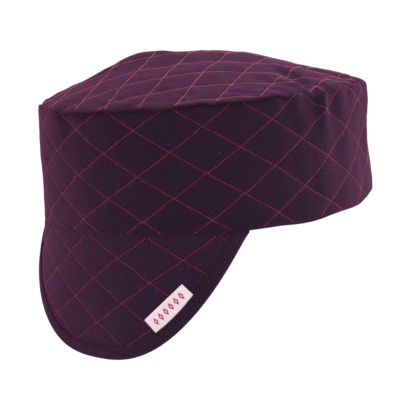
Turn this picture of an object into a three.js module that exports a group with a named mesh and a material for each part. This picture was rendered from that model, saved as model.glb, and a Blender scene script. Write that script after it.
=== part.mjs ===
// Quilted cap: a deep round band, a tented top panel and a short soft bill that hangs down.
// Millimetres, +Z up. The origin is the middle of the head opening, at the height of the rim.
// The bill is at the front, towards -Y. +X is the wearer's left.

import * as THREE from 'three';
import { mergeVertices } from 'three/addons/utils/BufferGeometryUtils.js';

// Driving dimensions

const WALL = 2.8; // two layers of twill with batting between them
const GAP = 0.3; // clearance where two sewn pieces meet
const RIM = { halfWidth: 92.5, halfLength: 97.8, sideDrop: 1.6 }; // outside of the band at the rim
const SEAM = { halfWidth: 88.8, halfLength: 100.6, shiftX: 6.3, shiftY: -3.6 }; // band's outside at the top
const HEIGHT = { middle: 65.6, front: 3.5, left: 1.9, saddle: -0.6 }; // height of the top seam
const SHOULDER = 4.0; // radius with which the band turns in to the top seam
// The top panel reaches this far over the shoulder on the front left, between these degrees
const OVERHANG = { far: 2.6, from: 36, full: 50, fading: 84, to: 93 };
const TENT = { rise: 20.6, peakX: -0.25, peakY: -0.03, blunt: 0.4 }; // the top panel's slack point
const SEAM_DIP = { depth: 1.1, reach: 4.0 }; // both panels roll down into the top seam
const PUCKER_FADE = { band: 14, top: 16 }; // how far from the seam a pucker can still be seen
const CREASE_FADE = 10; // creases of the top panel end this far from the seam
const RIM_TUCK = 0.6; // the folded rim turns in at its lowest edge

const BILL = { halfAngle: 58.9, drop: 70.4, outlinePower: 2.66, endPower: 1.31, wall: 2.4, setBack: 0.5 };
const BILL_LEAN = { middle: -0.069, middleCurl: 0.077, ends: 0.395, endsCurl: -0.052 };
const TAPE = { width: 7.0, thick: 0.8, clearance: 0.5, clearanceInside: 0.9, endDrop: 2.2, stations: 60 };
const RIM_STEPS = 32; // mesh steps along the bill's sewn edge
const LABEL = { from: 45.2, to: 67.6, inset: 7.35, startWidth: 8.75, endWidth: 7.65 };
const LABEL_CLOTH = { thick: 0.5, clearance: 0.35 };
const LABEL_MESH = { columns: 10, rows: 3 };

const DIAMONDS_ROUND = 16; // whole diamonds round the band
const DIAMOND_SHORT = 24.8; // height of a diamond on the band
const PUFF = 1.0; // height of the batting in the middle of a diamond
// Distances from each edge at which the relief is still flat, and at which it is full
const PUFF_FADE = { top: [4, 12], tape: [5, 13], label: [14, 22], rim: [0, 4] };
const STEPS = 4; // mesh steps across a diamond, each way
const CELL_REACH = 48; // mesh steps searched each way from a panel's lattice crossing
const ARC_STEPS = 1440; // steps of the table that turns length round the band into an angle

// Where the stitch lines cross on each panel, and how far the lattice is turned
const BAND_LATTICE = { u: 0.0, v: 57.2, turn: 0 };
const BILL_LATTICE = { u: 1.8, v: -0.5, turn: 0 };
const TOP_LATTICE = { u: 3.2, v: -94.3, turn: 1.475, long: 38.9, short: 22.1 };

// Soft folds down the band: angle from the front, half width, how deep (minus stands out), and the
// heights between which the fold runs
const BAND_FOLDS = [
  { name: 'front slack', at: 4, half: 26, depth: 0.9, low: 44, high: 70 },
  { name: 'valley before the left ridge', at: 84.5, half: 7, depth: 1.1, low: 42, high: 82 },
  { name: 'left ridge', at: 88.5, half: 6, depth: -1.6, low: 40, high: 84 },
  { name: 'valley after the left ridge', at: 93, half: 7, depth: 1.2, low: 46, high: 82 },
  { name: 'foot of the left ridge', at: 88, half: 10, depth: -0.7, low: 6, high: 60 },
  { name: 'left slack', at: 100, half: 13, depth: -0.5, low: 14, high: 72 },
  { name: 'rear left swell', at: 127, half: 16, depth: -0.5, low: 42, high: 62 },
  { name: 'rear left hollow', at: 130, half: 18, depth: 1.3, low: 14, high: 58 },
  { name: 'rear left rim', at: 131, half: 16, depth: -1.0, low: -8, high: 20 },
  { name: 'rear left shoulder', at: 133, half: 16, depth: 0.9, low: 50, high: 80 },
  { name: 'rear slack', at: 176, half: 24, depth: 1.2, low: 30, high: 70 },
  { name: 'right fold', at: 262, half: 10, depth: 1.6, low: 18, high: 72 },
  { name: 'right hollow', at: 306, half: 22, depth: 0.6, low: 20, high: 72 },
  { name: 'front right shoulder', at: 321, half: 18, depth: 1.2, low: 46, high: 80 },
  { name: 'front right slack', at: 320, half: 20, depth: 0.6, low: -10, high: 70 },
];

// Puckers where the top panel is eased onto the band: angle, half width and drop of the seam
const PUCKERS = [
  { name: 'front', at: 2, half: 12, drop: 2.0 },
  { name: 'front left', at: 33, half: 9, drop: 0.9 },
  { name: 'left tuck', at: 86.6, half: 4.5, drop: 2.3 },
  { name: 'second left tuck', at: 92.6, half: 5, drop: 2.6 },
  { name: 'rear left tuck', at: 117, half: 6, drop: 2.6 },
  { name: 'rear left corner', at: 137, half: 14, drop: 1.9 },
  { name: 'rear', at: 165, half: 10, drop: 1.5 },
  { name: 'rear right', at: 214, half: 8, drop: 2.2 },
  { name: 'right', at: 262, half: 8, drop: 2.4 },
  { name: 'front right', at: 315, half: 14, drop: 1.6 },
];

// Where the folded rim sags
const RIM_SAGS = [
  { name: 'left', at: 80, half: 22, drop: 1.3 },
  { name: 'rear left', at: 106, half: 20, drop: 0.7 },
  { name: 'right', at: 263, half: 26, drop: 0.9 },
];

// Creases and ridges of the top panel, each along a straight line seen from above
const TOP_CREASES = [
  { name: 'crease to the left tuck', x1: 65, y1: 1, x2: 85, y2: -6, half: 8, depth: 2.6 },
  { name: 'ridge behind it', x1: 63, y1: 9, x2: 85, y2: 1, half: 6, depth: -0.7 },
  { name: 'ridge before it', x1: 66, y1: -16, x2: 84, y2: -14, half: 9, depth: -1.2 },
  { name: 'tent ridge', x1: -18, y1: -42, x2: 26, y2: 10, half: 22, depth: -2.0 },
  { name: 'end of the tent ridge', x1: -13, y1: -33, x2: -6, y2: -25, half: 12, depth: -1.3 },
  { name: 'slack on the tent ridge', x1: 6, y1: -8, x2: 18, y2: 4, half: 12, depth: 0.6 },
  { name: 'front right slope', x1: -54, y1: -38, x2: -34, y2: -46, half: 16, depth: 2.3 },
  { name: 'front right edge', x1: -42, y1: -62, x2: -36, y2: -58, half: 12, depth: 1.5 },
  { name: 'rear hollow', x1: -30, y1: 44, x2: 26, y2: 52, half: 20, depth: 2.2 },
  { name: 'rear left crease', x1: 52, y1: 34, x2: 74, y2: 44, half: 7, depth: 1.6 },
  { name: 'rear left slack', x1: 44, y1: 62, x2: 50, y2: 74, half: 13, depth: 1.3 },
  { name: 'right crease', x1: -66, y1: 14, x2: -44, y2: 4, half: 8, depth: 1.6 },
];

// Materials

function cloth(color, roughness) {
  return new THREE.MeshStandardMaterial({ color, roughness, metalness: 0 });
}

const quiltedTwill = cloth(0x2a1430, 0.9);
const topTwill = cloth(0x33183a, 0.9);
const plainTwill = cloth(0x1f1024, 0.92);
const labelSatin = cloth(0xf0dfe6, 0.55);

// Small helpers

const radians = THREE.MathUtils.degToRad;

function smooth(from, to, value) {
  return THREE.MathUtils.smoothstep(value, from, to);
}

// A bell of height 1 that reaches zero at the distance half
function bell(distance, half) {
  const part = Math.min(1, Math.abs(distance) / half);
  return (1 - part * part) ** 2;
}

function angleBetween(a, b) {
  const turn = 2 * Math.PI;
  return THREE.MathUtils.euclideanModulo(a - b + Math.PI, turn) - Math.PI;
}

// Straight out of the band, level, at an angle from the front
function outward(angle) {
  return new THREE.Vector3(Math.sin(angle), -Math.cos(angle), 0);
}

// Sum of the soft dips of a table at an angle
function dips(rows, angle) {
  let drop = 0;
  for (const row of rows) {
    const away = (angleBetween(angle, radians(row.at)) * (RIM.halfWidth + RIM.halfLength)) / 2;
    drop += row.drop * bell(away, row.half);
  }
  return drop;
}

// The band's two guiding curves, and the length round it

function rimPoint(angle) {
  const x = RIM.halfWidth * Math.sin(angle);
  const y = -RIM.halfLength * Math.cos(angle);
  return new THREE.Vector3(x, y, -RIM.sideDrop * Math.sin(angle) ** 2 - dips(RIM_SAGS, angle));
}

// Height of the plane-like surface that the top seam lies in, for x and y as parts of its half sizes
function seamHeight(x, y) {
  return HEIGHT.middle - HEIGHT.front * y + HEIGHT.left * x + HEIGHT.saddle * (y * y - x * x);
}

function seamPoint(angle) {
  const x = Math.sin(angle);
  const y = -Math.cos(angle);
  const point = new THREE.Vector3(SEAM.halfWidth * x, SEAM.halfLength * y, seamHeight(x, y));
  return point.add(new THREE.Vector3(SEAM.shiftX, SEAM.shiftY, 0));
}

function middlePoint(angle) {
  return rimPoint(angle).lerp(seamPoint(angle), 0.5).setZ(0);
}

// Length round the band at half its height, from the front, for evenly spaced angles
function measureRound() {
  const lengths = [0];
  for (let i = 1; i <= ARC_STEPS; i += 1) {
    const before = middlePoint((2 * Math.PI * (i - 1)) / ARC_STEPS);
    const here = middlePoint((2 * Math.PI * i) / ARC_STEPS);
    lengths.push(lengths[i - 1] + before.distanceTo(here));
  }
  return lengths;
}

const LENGTHS = measureRound();
const ROUND = LENGTHS[ARC_STEPS];
const DIAMOND_LONG = ROUND / DIAMONDS_ROUND;

function lengthAt(angle) {
  const place = (THREE.MathUtils.euclideanModulo(angle, 2 * Math.PI) / (2 * Math.PI)) * ARC_STEPS;
  const i = Math.min(ARC_STEPS - 1, Math.floor(place));
  const length = THREE.MathUtils.lerp(LENGTHS[i], LENGTHS[i + 1], place - i);
  return angle < 0 ? length - ROUND : length;
}

function angleAt(length) {
  const wanted = THREE.MathUtils.euclideanModulo(length, ROUND);
  let low = 0;
  let high = ARC_STEPS;
  while (high - low > 1) {
    const half = Math.floor((low + high) / 2);
    if (LENGTHS[half] <= wanted) {
      low = half;
    } else {
      high = half;
    }
  }
  const part = (wanted - LENGTHS[low]) / (LENGTHS[high] - LENGTHS[low]);
  const angle = (2 * Math.PI * (low + part)) / ARC_STEPS;
  return length < 0 ? angle - 2 * Math.PI : angle;
}

// Quilting: stitch lines cross in diamonds, and the batting stands up between them

function latticeSizes(lattice) {
  return { long: lattice.long ?? DIAMOND_LONG, short: lattice.short ?? DIAMOND_SHORT };
}

// Position in the lattice, counted in mesh steps along the diamonds' long and short ways
function toSteps(lattice, u, v) {
  const { long, short } = latticeSizes(lattice);
  const du = u - lattice.u;
  const dv = v - lattice.v;
  const along = du * Math.cos(lattice.turn) + dv * Math.sin(lattice.turn);
  const across = -du * Math.sin(lattice.turn) + dv * Math.cos(lattice.turn);
  return { k: (along / long) * STEPS, m: (across / short) * STEPS };
}

function fromSteps(lattice, k, m) {
  const { long, short } = latticeSizes(lattice);
  const along = (k / STEPS) * long;
  const across = (m / STEPS) * short;
  const u = lattice.u + along * Math.cos(lattice.turn) - across * Math.sin(lattice.turn);
  const v = lattice.v + along * Math.sin(lattice.turn) + across * Math.cos(lattice.turn);
  return new THREE.Vector2(u, v);
}

function puff(lattice, u, v) {
  const { k, m } = toSteps(lattice, u, v);
  const one = Math.sin((Math.PI * (k + m)) / STEPS);
  const two = Math.sin((Math.PI * (k - m)) / STEPS);
  return PUFF * Math.sqrt(Math.abs(one * two));
}

// Whether a mesh cell's stitch line runs from its lower left corner to its upper right one
function risingLine(k, m) {
  return THREE.MathUtils.euclideanModulo(k - m, STEPS) === 0;
}

// Meshes

// A closed body out of flat points, their triangles, and the border that joins its two faces
function shell(points, triangles, border, place) {
  const positions = [];
  for (const point of points) {
    positions.push(...place(point.x, point.y, 0).toArray());
  }
  for (const point of points) {
    positions.push(...place(point.x, point.y, 1).toArray());
  }
  const count = points.length;
  const index = [];
  for (const [a, b, c] of triangles) {
    index.push(a, b, c, count + a, count + c, count + b);
  }
  for (let i = 0; i < border.length; i += 1) {
    const a = border[i];
    const b = border[(i + 1) % border.length];
    index.push(a, count + a, b, b, count + a, count + b);
  }
  return geometryOf(positions, index);
}

function geometryOf(positions, index) {
  const geometry = new THREE.BufferGeometry();
  geometry.setAttribute('position', new THREE.Float32BufferAttribute(positions, 3));
  geometry.setIndex(index);
  return mergeVertices(geometry, 1e-4);
}

// Whole mesh cells of the lattice that lie well inside a cut panel
function wholeCells(lattice, inside) {
  const cells = [];
  for (let k = -CELL_REACH; k < CELL_REACH; k += 1) {
    for (let m = -CELL_REACH; m < CELL_REACH; m += 1) {
      const corners = [[k, m], [k + 1, m], [k + 1, m + 1], [k, m + 1]];
      if (corners.every(([i, j]) => inside(fromSteps(lattice, i, j)))) {
        cells.push({ k, m, corners });
      }
    }
  }
  return cells;
}

// The cells' edges that only one cell uses, chained into one loop
function chainBorder(cells) {
  const edges = new Set();
  for (const { corners } of cells) {
    for (let i = 0; i < corners.length; i += 1) {
      edges.add(`${corners[i].join()}>${corners[(i + 1) % corners.length].join()}`);
    }
  }
  const next = new Map();
  for (const edge of edges) {
    const [from, to] = edge.split('>');
    if (!edges.has(`${to}>${from}`)) {
      next.set(from, to);
    }
  }
  const start = next.keys().next().value;
  const loop = [];
  for (let key = start; loop.length === 0 || key !== start; key = next.get(key)) {
    loop.push(key);
  }
  return loop;
}

function flatArea(a, b, c) {
  return ((b.x - a.x) * (c.y - a.y) - (c.x - a.x) * (b.y - a.y)) / 2;
}

// Triangles between two loops that run the same way round, always closing the shorter side first
function stripBetween(points, outer, inner) {
  const first = points[outer[0]];
  const distances = inner.map((id) => points[id].distanceTo(first));
  const start = distances.indexOf(Math.min(...distances));
  const triangles = [];
  let i = 0;
  let j = 0;
  while (i < outer.length || j < inner.length) {
    const a = outer[i % outer.length];
    const aNext = outer[(i + 1) % outer.length];
    const b = inner[(start + j) % inner.length];
    const bNext = inner[(start + j + 1) % inner.length];
    const outerCost = points[aNext].distanceTo(points[b]);
    const innerCost = points[a].distanceTo(points[bNext]);
    const outerFits = i < outer.length && flatArea(points[a], points[aNext], points[b]) > 0.01;
    const innerFits = j < inner.length && flatArea(points[a], points[bNext], points[b]) > 0.01;
    if (outerFits && (!innerFits || outerCost < innerCost)) {
      triangles.push([a, aNext, b]);
      i += 1;
    } else {
      triangles.push([a, bNext, b]);
      j += 1;
    }
  }
  return triangles;
}

// A panel cut from quilted cloth: lattice cells in the middle, rings of points along the cut edge
function cutPanel({ lattice, rings, inside, place }) {
  const points = rings.flat();
  const triangles = [];
  const size = rings[0].length;
  for (let ring = 0; ring + 1 < rings.length; ring += 1) {
    for (let i = 0; i < size; i += 1) {
      const a = ring * size + i;
      const b = ring * size + ((i + 1) % size);
      triangles.push([a, b, a + size], [b, b + size, a + size]);
    }
  }
  const cells = wholeCells(lattice, inside);
  const corner = new Map();
  for (const { k, m, corners } of cells) {
    const ids = corners.map(([i, j]) => {
      const key = `${i},${j}`;
      if (!corner.has(key)) {
        corner.set(key, points.length);
        points.push(fromSteps(lattice, i, j));
      }
      return corner.get(key);
    });
    const [a, b, c, d] = ids;
    if (risingLine(k, m)) {
      triangles.push([a, b, c], [a, c, d]);
    } else {
      triangles.push([a, b, d], [b, c, d]);
    }
  }
  const base = (rings.length - 1) * size;
  const innermost = Array.from({ length: size }, (_, i) => base + i);
  const stepped = chainBorder(cells).map((key) => corner.get(key));
  triangles.push(...stripBetween(points, innermost, stepped));
  return shell(points, triangles, rings[0].map((_, i) => i), place);
}

// Crown side

function bandFold(angle, height) {
  let depth = 0;
  for (const fold of BAND_FOLDS) {
    const away = (angleBetween(angle, radians(fold.at)) * (RIM.halfWidth + RIM.halfLength)) / 2;
    const middle = (fold.low + fold.high) / 2;
    depth += fold.depth * bell(away, fold.half) * bell(height - middle, (fold.high - fold.low) / 2);
  }
  return depth;
}

function overhang(angle) {
  const degrees = THREE.MathUtils.radToDeg(THREE.MathUtils.euclideanModulo(angle, 2 * Math.PI));
  const rising = smooth(OVERHANG.from, OVERHANG.full, degrees);
  return OVERHANG.far * rising * (1 - smooth(OVERHANG.fading, OVERHANG.to, degrees));
}

// A point of the band: height from the rim, and the turn of the shoulder from 0 to a quarter turn
function bandPoint(angle, height, turn, depth) {
  const base = rimPoint(angle);
  const top = seamPoint(angle);
  const full = top.z;
  const shoulder = SHOULDER - overhang(angle);
  const level = turn > 0 ? full - shoulder + shoulder * Math.sin(turn) : height;
  const part = level / full;
  const point = base.lerp(top, part);
  const inset = shoulder * (1 - Math.cos(turn));
  const normal = outward(angle).multiplyScalar(Math.cos(turn)).setZ(Math.sin(turn));
  point.addScaledVector(outward(angle), -inset - bandFold(angle, level) * Math.cos(turn));
  point.z -= dips(PUCKERS, angle) * smooth(full - PUCKER_FADE.band, full, level);
  if (turn > 0 && depth > shoulder) {
    point.z -= (depth + GAP - shoulder) * (1 - Math.sin(turn)); // the inner corner stays below the top panel
  }
  return point.addScaledVector(normal, -depth);
}

const SHOULDER_TURNS = [0.18, 0.38, 0.62, 0.84, 1].map((part) => (part * Math.PI) / 2);
const INNER_HEIGHTS = [56, 44, 32, 20, 8, 0];

// Rows of the band's outer face: the folded rim, the lattice's rows, and the shoulder. sunk tells how
// far a row lies under the face that the stitch lines follow.
function outerRows() {
  const rows = [{ height: 0, turn: 0, sunk: RIM_TUCK, puffed: false }];
  const step = DIAMOND_SHORT / STEPS;
  const lowest = BAND_LATTICE.v - Math.floor(BAND_LATTICE.v / step) * step;
  const count = Math.round((BAND_LATTICE.v - lowest) / step);
  for (let i = 0; i <= count; i += 1) {
    rows.push({ height: lowest + i * step, turn: 0, sunk: 0, puffed: true });
  }
  SHOULDER_TURNS.forEach((turn, i) => {
    const atSeam = i === SHOULDER_TURNS.length - 1;
    rows.push({ height: 0, turn, sunk: atSeam ? SEAM_DIP.depth : 0, puffed: false });
  });
  return rows;
}

function crownSide() {
  const columns = DIAMONDS_ROUND * STEPS;
  const lengths = Array.from({ length: columns }, (_, i) => (i / STEPS) * DIAMOND_LONG);
  const positions = [];
  for (const { height, turn, sunk, puffed } of outerRows()) {
    for (const length of lengths) {
      const depth = puffed ? -puff(BAND_LATTICE, length, height) : sunk;
      positions.push(...bandPoint(angleAt(length), height, turn, depth).toArray());
    }
  }
  for (const turn of [...SHOULDER_TURNS].reverse()) {
    lengths.forEach((length) => positions.push(...bandPoint(angleAt(length), 0, turn, WALL).toArray()));
  }
  for (const height of INNER_HEIGHTS) {
    lengths.forEach((length) => positions.push(...bandPoint(angleAt(length), height, 0, WALL).toArray()));
  }
  const rows = positions.length / 3 / columns;
  const index = [];
  for (let row = 0; row < rows; row += 1) {
    for (let i = 0; i < columns; i += 1) {
      const above = ((row + 1) % rows) * columns;
      const a = row * columns + i;
      const b = row * columns + ((i + 1) % columns);
      const c = above + ((i + 1) % columns);
      const d = above + i;
      if (risingLine(i, row - 1)) {
        index.push(a, b, c, a, c, d);
      } else {
        index.push(a, b, d, b, c, d);
      }
    }
  }
  return geometryOf(positions, index);
}

// Crown top

const PANEL_HALF = SEAM.halfWidth - SHOULDER;

// Half sizes of the top panel, which reaches a little farther where it hangs over the shoulder
function panelHalf(angle) {
  const reach = overhang(angle) - SHOULDER;
  return { halfWidth: SEAM.halfWidth + reach, halfLength: SEAM.halfLength + reach };
}

// A place on the top panel counted from its middle, so that its edge is at 1
function panelPlace(u, v) {
  const across = u - SEAM.shiftX;
  const along = v - SEAM.shiftY;
  const plain = panelHalf(0);
  const angle = Math.atan2(across / plain.halfWidth, -along / plain.halfLength);
  const { halfWidth, halfLength } = panelHalf(angle);
  return new THREE.Vector2(across / halfWidth, along / halfLength);
}

// How far out a place on the top panel is: 0 at the peak, 1 at the seam
function reachOut(x, y) {
  const dx = x - TENT.peakX;
  const dy = y - TENT.peakY;
  const square = dx * dx + dy * dy + 1e-9;
  const cross = TENT.peakX * dx + TENT.peakY * dy;
  const rest = TENT.peakX ** 2 + TENT.peakY ** 2 - 1;
  return square / (-cross + Math.sqrt(cross * cross - square * rest));
}

function tentCurve(out) {
  return (out ** 4 + TENT.blunt ** 4) ** 0.25;
}

function creaseDepth(x, y) {
  let depth = 0;
  for (const crease of TOP_CREASES) {
    const start = new THREE.Vector3(crease.x1, crease.y1, 0);
    const line = new THREE.Line3(start, new THREE.Vector3(crease.x2, crease.y2, 0));
    const here = new THREE.Vector3(x, y, 0);
    const nearest = line.closestPointToPoint(here, true, new THREE.Vector3());
    depth += crease.depth * bell(here.distanceTo(nearest), crease.half);
  }
  return depth;
}

function topPoint(u, v, skin) {
  const { x, y } = panelPlace(u, v);
  const out = Math.min(1, reachOut(x, y));
  const angle = Math.atan2(x, -y);
  const tent = (tentCurve(1) - tentCurve(out)) / (tentCurve(1) - TENT.blunt);
  const fromEdge = (1 - Math.hypot(x, y)) * PANEL_HALF;
  const inner = smooth(0, SEAM_DIP.reach, fromEdge);
  let z = seamHeight(x, y) + TENT.rise * tent - creaseDepth(u, v) * smooth(0, CREASE_FADE, fromEdge);
  z -= dips(PUCKERS, angle) * (1 - smooth(0, PUCKER_FADE.top, fromEdge));
  if (skin === 0) {
    z += puff(TOP_LATTICE, u, v) * smooth(...PUFF_FADE.top, fromEdge) - SEAM_DIP.depth * (1 - inner);
  } else {
    z -= WALL;
  }
  return new THREE.Vector3(u, v, z);
}

function topRing(inset) {
  const columns = DIAMONDS_ROUND * STEPS;
  return Array.from({ length: columns }, (_, i) => {
    const angle = angleAt((i / STEPS) * DIAMOND_LONG);
    const { halfWidth, halfLength } = panelHalf(angle);
    const x = SEAM.shiftX + (halfWidth - inset) * Math.sin(angle);
    const y = SEAM.shiftY - (halfLength - inset) * Math.cos(angle);
    return new THREE.Vector2(x, y);
  });
}

function crownTop() {
  const rings = [topRing(GAP), topRing(SEAM_DIP.reach)];
  const clear = SEAM_DIP.reach + 2;
  const inside = (point) => (1 - panelPlace(point.x, point.y).length()) * PANEL_HALF > clear;
  return cutPanel({ lattice: TOP_LATTICE, rings, inside, place: topPoint });
}

// Bill

const BILL_END = lengthAt(radians(BILL.halfAngle));

// How far the bill hangs below the rim at a length round it
function billDrop(u) {
  const part = Math.min(1, Math.abs(angleAt(u)) / radians(BILL.halfAngle));
  return BILL.drop * (1 - part ** BILL.outlinePower) ** BILL.endPower;
}

// A point of the bill, lifted off the middle of its outer face. v runs down from zero at the rim.
function billPoint(u, v, lift) {
  const angle = angleAt(u);
  const part = Math.min(1, Math.abs(angle) / radians(BILL.halfAngle));
  const middle = Math.cos((part * Math.PI) / 2);
  const lean = BILL_LEAN.middle * middle + BILL_LEAN.ends * (1 - middle);
  const curl = BILL_LEAN.middleCurl * middle + BILL_LEAN.endsCurl * (1 - middle);
  const out = -lean * v + (curl * v * v) / BILL.drop - BILL.setBack + lift;
  const point = rimPoint(angle).addScaledVector(outward(angle), out);
  point.z += v;
  return point;
}

// The bill's free edge from its right end to its left end, and the direction into the cloth there
function edgeStation(u) {
  const step = 0.05;
  const slope = (billDrop(u + step) - billDrop(u - step)) / (2 * step);
  const inward = new THREE.Vector2(slope, 1).normalize();
  return { edge: new THREE.Vector2(u, -billDrop(u)), inward };
}

// The length round the rim at which the bill hangs a given distance
function whereDrop(drop) {
  let low = 0;
  let high = BILL_END;
  for (let i = 0; i < 40; i += 1) {
    const half = (low + high) / 2;
    if (billDrop(half) > drop) {
      low = half;
    } else {
      high = half;
    }
  }
  return low;
}

const TAPE_END = whereDrop(TAPE.endDrop);

// Stations along the free edge, closer together towards the ends
function edgeLengths() {
  const crowding = 1.35;
  return Array.from({ length: TAPE.stations + 1 }, (_, i) => {
    const part = (2 * i) / TAPE.stations - 1;
    return (TAPE_END * Math.sin(part * crowding)) / Math.sin(crowding);
  });
}

function billRing() {
  const inset = TAPE.thick + TAPE.clearance;
  const ring = [];
  for (const u of edgeLengths()) {
    const { edge, inward } = edgeStation(u);
    const point = edge.addScaledVector(inward, inset);
    point.y = Math.min(point.y, -2 * GAP);
    ring.push(point);
  }
  const last = ring[ring.length - 1].x;
  for (let i = 0; i <= RIM_STEPS; i += 1) {
    ring.push(new THREE.Vector2(last * (1 - (2 * i) / RIM_STEPS), -GAP));
  }
  return ring;
}

// The middle of the label on the flat bill
const LABEL_MIDDLE = labelMiddle();

function labelMiddle() {
  const { edge, inward } = edgeStation((LABEL.from + LABEL.to) / 2);
  return edge.addScaledVector(inward, LABEL.inset + LABEL.startWidth / 2);
}

function billSkin(u, v, skin) {
  if (skin === 1) {
    return billPoint(u, v, -BILL.wall);
  }
  const { edge, inward } = edgeStation(THREE.MathUtils.clamp(u, -TAPE_END, TAPE_END));
  const fromTape = (v - edge.y) * inward.y - TAPE.width;
  const fromLabel = LABEL_MIDDLE.distanceTo(new THREE.Vector2(u, v));
  const sides = smooth(...PUFF_FADE.tape, fromTape) * smooth(...PUFF_FADE.rim, -v);
  const fade = sides * smooth(...PUFF_FADE.label, fromLabel);
  return billPoint(u, v, puff(BILL_LATTICE, u, v) * fade);
}

function bill() {
  const inside = (point) => {
    const { edge, inward } = edgeStation(point.x);
    const fromEdge = (point.y - edge.y) * inward.y;
    return Math.abs(point.x) < TAPE_END && fromEdge > 3 && point.y < -1.5;
  };
  return cutPanel({ lattice: BILL_LATTICE, rings: [billRing()], inside, place: billSkin });
}

// Bill binding: a tape folded round the free edge, a U in section

// Points of the tape's section: how far into the bill from the fold, and how far off its outer face
function tapeSection(reach) {
  const face = TAPE.clearance;
  const back = -BILL.wall - TAPE.clearanceInside;
  const middle = -BILL.wall / 2;
  const thick = TAPE.thick;
  const worn = thick * 0.6; // the tape's raw edges are pressed thinner
  const round = thick * 0.25; // the fold is rounded
  return [
    [reach, face + worn],
    [reach * 0.55, face + thick],
    [thick * 1.75, face + thick],
    [round, face],
    [0, middle],
    [round, back],
    [thick * 1.75, back - thick],
    [reach * 0.55, back - thick],
    [reach, back - worn],
    [reach, back],
    [thick + round, back],
    [thick, middle],
    [thick + round, face],
    [reach, face],
  ];
}

function billBinding() {
  const positions = [];
  const stations = edgeLengths();
  let sides = 0;
  for (const u of stations) {
    const { edge, inward } = edgeStation(u);
    const room = (-GAP - edge.y) / inward.y;
    const section = tapeSection(Math.max(TAPE.thick * 2.25, Math.min(TAPE.width, room)));
    sides = section.length;
    for (const [reach, lift] of section) {
      const place = edge.clone().addScaledVector(inward, reach);
      place.y = Math.min(place.y, -GAP);
      positions.push(...billPoint(place.x, place.y, lift).toArray());
    }
  }
  const index = [];
  for (let i = 0; i + 1 < stations.length; i += 1) {
    for (let j = 0; j < sides; j += 1) {
      const a = i * sides + j;
      const b = i * sides + ((j + 1) % sides);
      index.push(a, b, a + sides, b, b + sides, a + sides);
    }
  }
  const section = tapeSection(TAPE.width).map(([reach, lift]) => new THREE.Vector2(reach, lift));
  const last = (stations.length - 1) * sides;
  for (const [a, b, c] of THREE.ShapeUtils.triangulateShape(section, [])) {
    index.push(a, c, b, last + a, last + b, last + c);
  }
  return geometryOf(positions, index);
}

// Label: a flat woven rectangle whose lower edge follows the tape

function labelGrid() {
  const lower = (u) => {
    const { edge, inward } = edgeStation(u);
    return edge.addScaledVector(inward, LABEL.inset);
  };
  const start = lower(LABEL.from);
  const end = lower(LABEL.to);
  const chord = end.clone().sub(start).normalize();
  const up = new THREE.Vector2(-chord.y, chord.x);
  const points = [];
  for (let row = 0; row <= LABEL_MESH.rows; row += 1) {
    for (let i = 0; i <= LABEL_MESH.columns; i += 1) {
      const part = i / LABEL_MESH.columns;
      const width = THREE.MathUtils.lerp(LABEL.startWidth, LABEL.endWidth, part);
      const bottom = lower(THREE.MathUtils.lerp(LABEL.from, LABEL.to, part));
      const top = start.clone().lerp(end, part).addScaledVector(up, width);
      points.push(bottom.lerp(top, row / LABEL_MESH.rows));
    }
  }
  return points;
}

function label() {
  const points = labelGrid();
  const width = LABEL_MESH.columns + 1;
  const triangles = [];
  for (let row = 0; row < LABEL_MESH.rows; row += 1) {
    for (let i = 0; i < LABEL_MESH.columns; i += 1) {
      const a = row * width + i;
      triangles.push([a, a + 1, a + width + 1], [a, a + width + 1, a + width]);
    }
  }
  const border = [];
  for (let i = 0; i < LABEL_MESH.columns; i += 1) {
    border.push(i);
  }
  for (let row = 0; row < LABEL_MESH.rows; row += 1) {
    border.push(row * width + LABEL_MESH.columns);
  }
  for (let i = LABEL_MESH.columns; i > 0; i -= 1) {
    border.push(LABEL_MESH.rows * width + i);
  }
  for (let row = LABEL_MESH.rows; row > 0; row -= 1) {
    border.push(row * width);
  }
  const { thick, clearance } = LABEL_CLOTH;
  const place = (u, v, skin) => billPoint(u, v, clearance + (skin === 0 ? thick : 0));
  return shell(points, triangles, border, place);
}

// Assembly

function piece(name, geometry, material) {
  const mesh = new THREE.Mesh(geometry, material);
  mesh.name = name;
  return mesh;
}

const group = new THREE.Group();
group.add(piece('crown_side', crownSide(), quiltedTwill));
group.add(piece('crown_top', crownTop(), topTwill));
group.add(piece('bill', bill(), quiltedTwill));
group.add(piece('bill_binding', billBinding(), plainTwill));
group.add(piece('label', label(), labelSatin));

export default group;
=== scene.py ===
# %% [markdown]
# # A quilted cap
# A soft work cap: a deep band of quilted twill, a tented top panel sewn into it, and a short bill
# that hangs from the rim. The packed model is the frame. Everything made here lies on its solids, in
# metres, with the origin in the middle of the head opening, at the height of the rim.

# %% Load the frame
import math

import bpy
import numpy as np
from mathutils import Matrix, Vector


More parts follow.
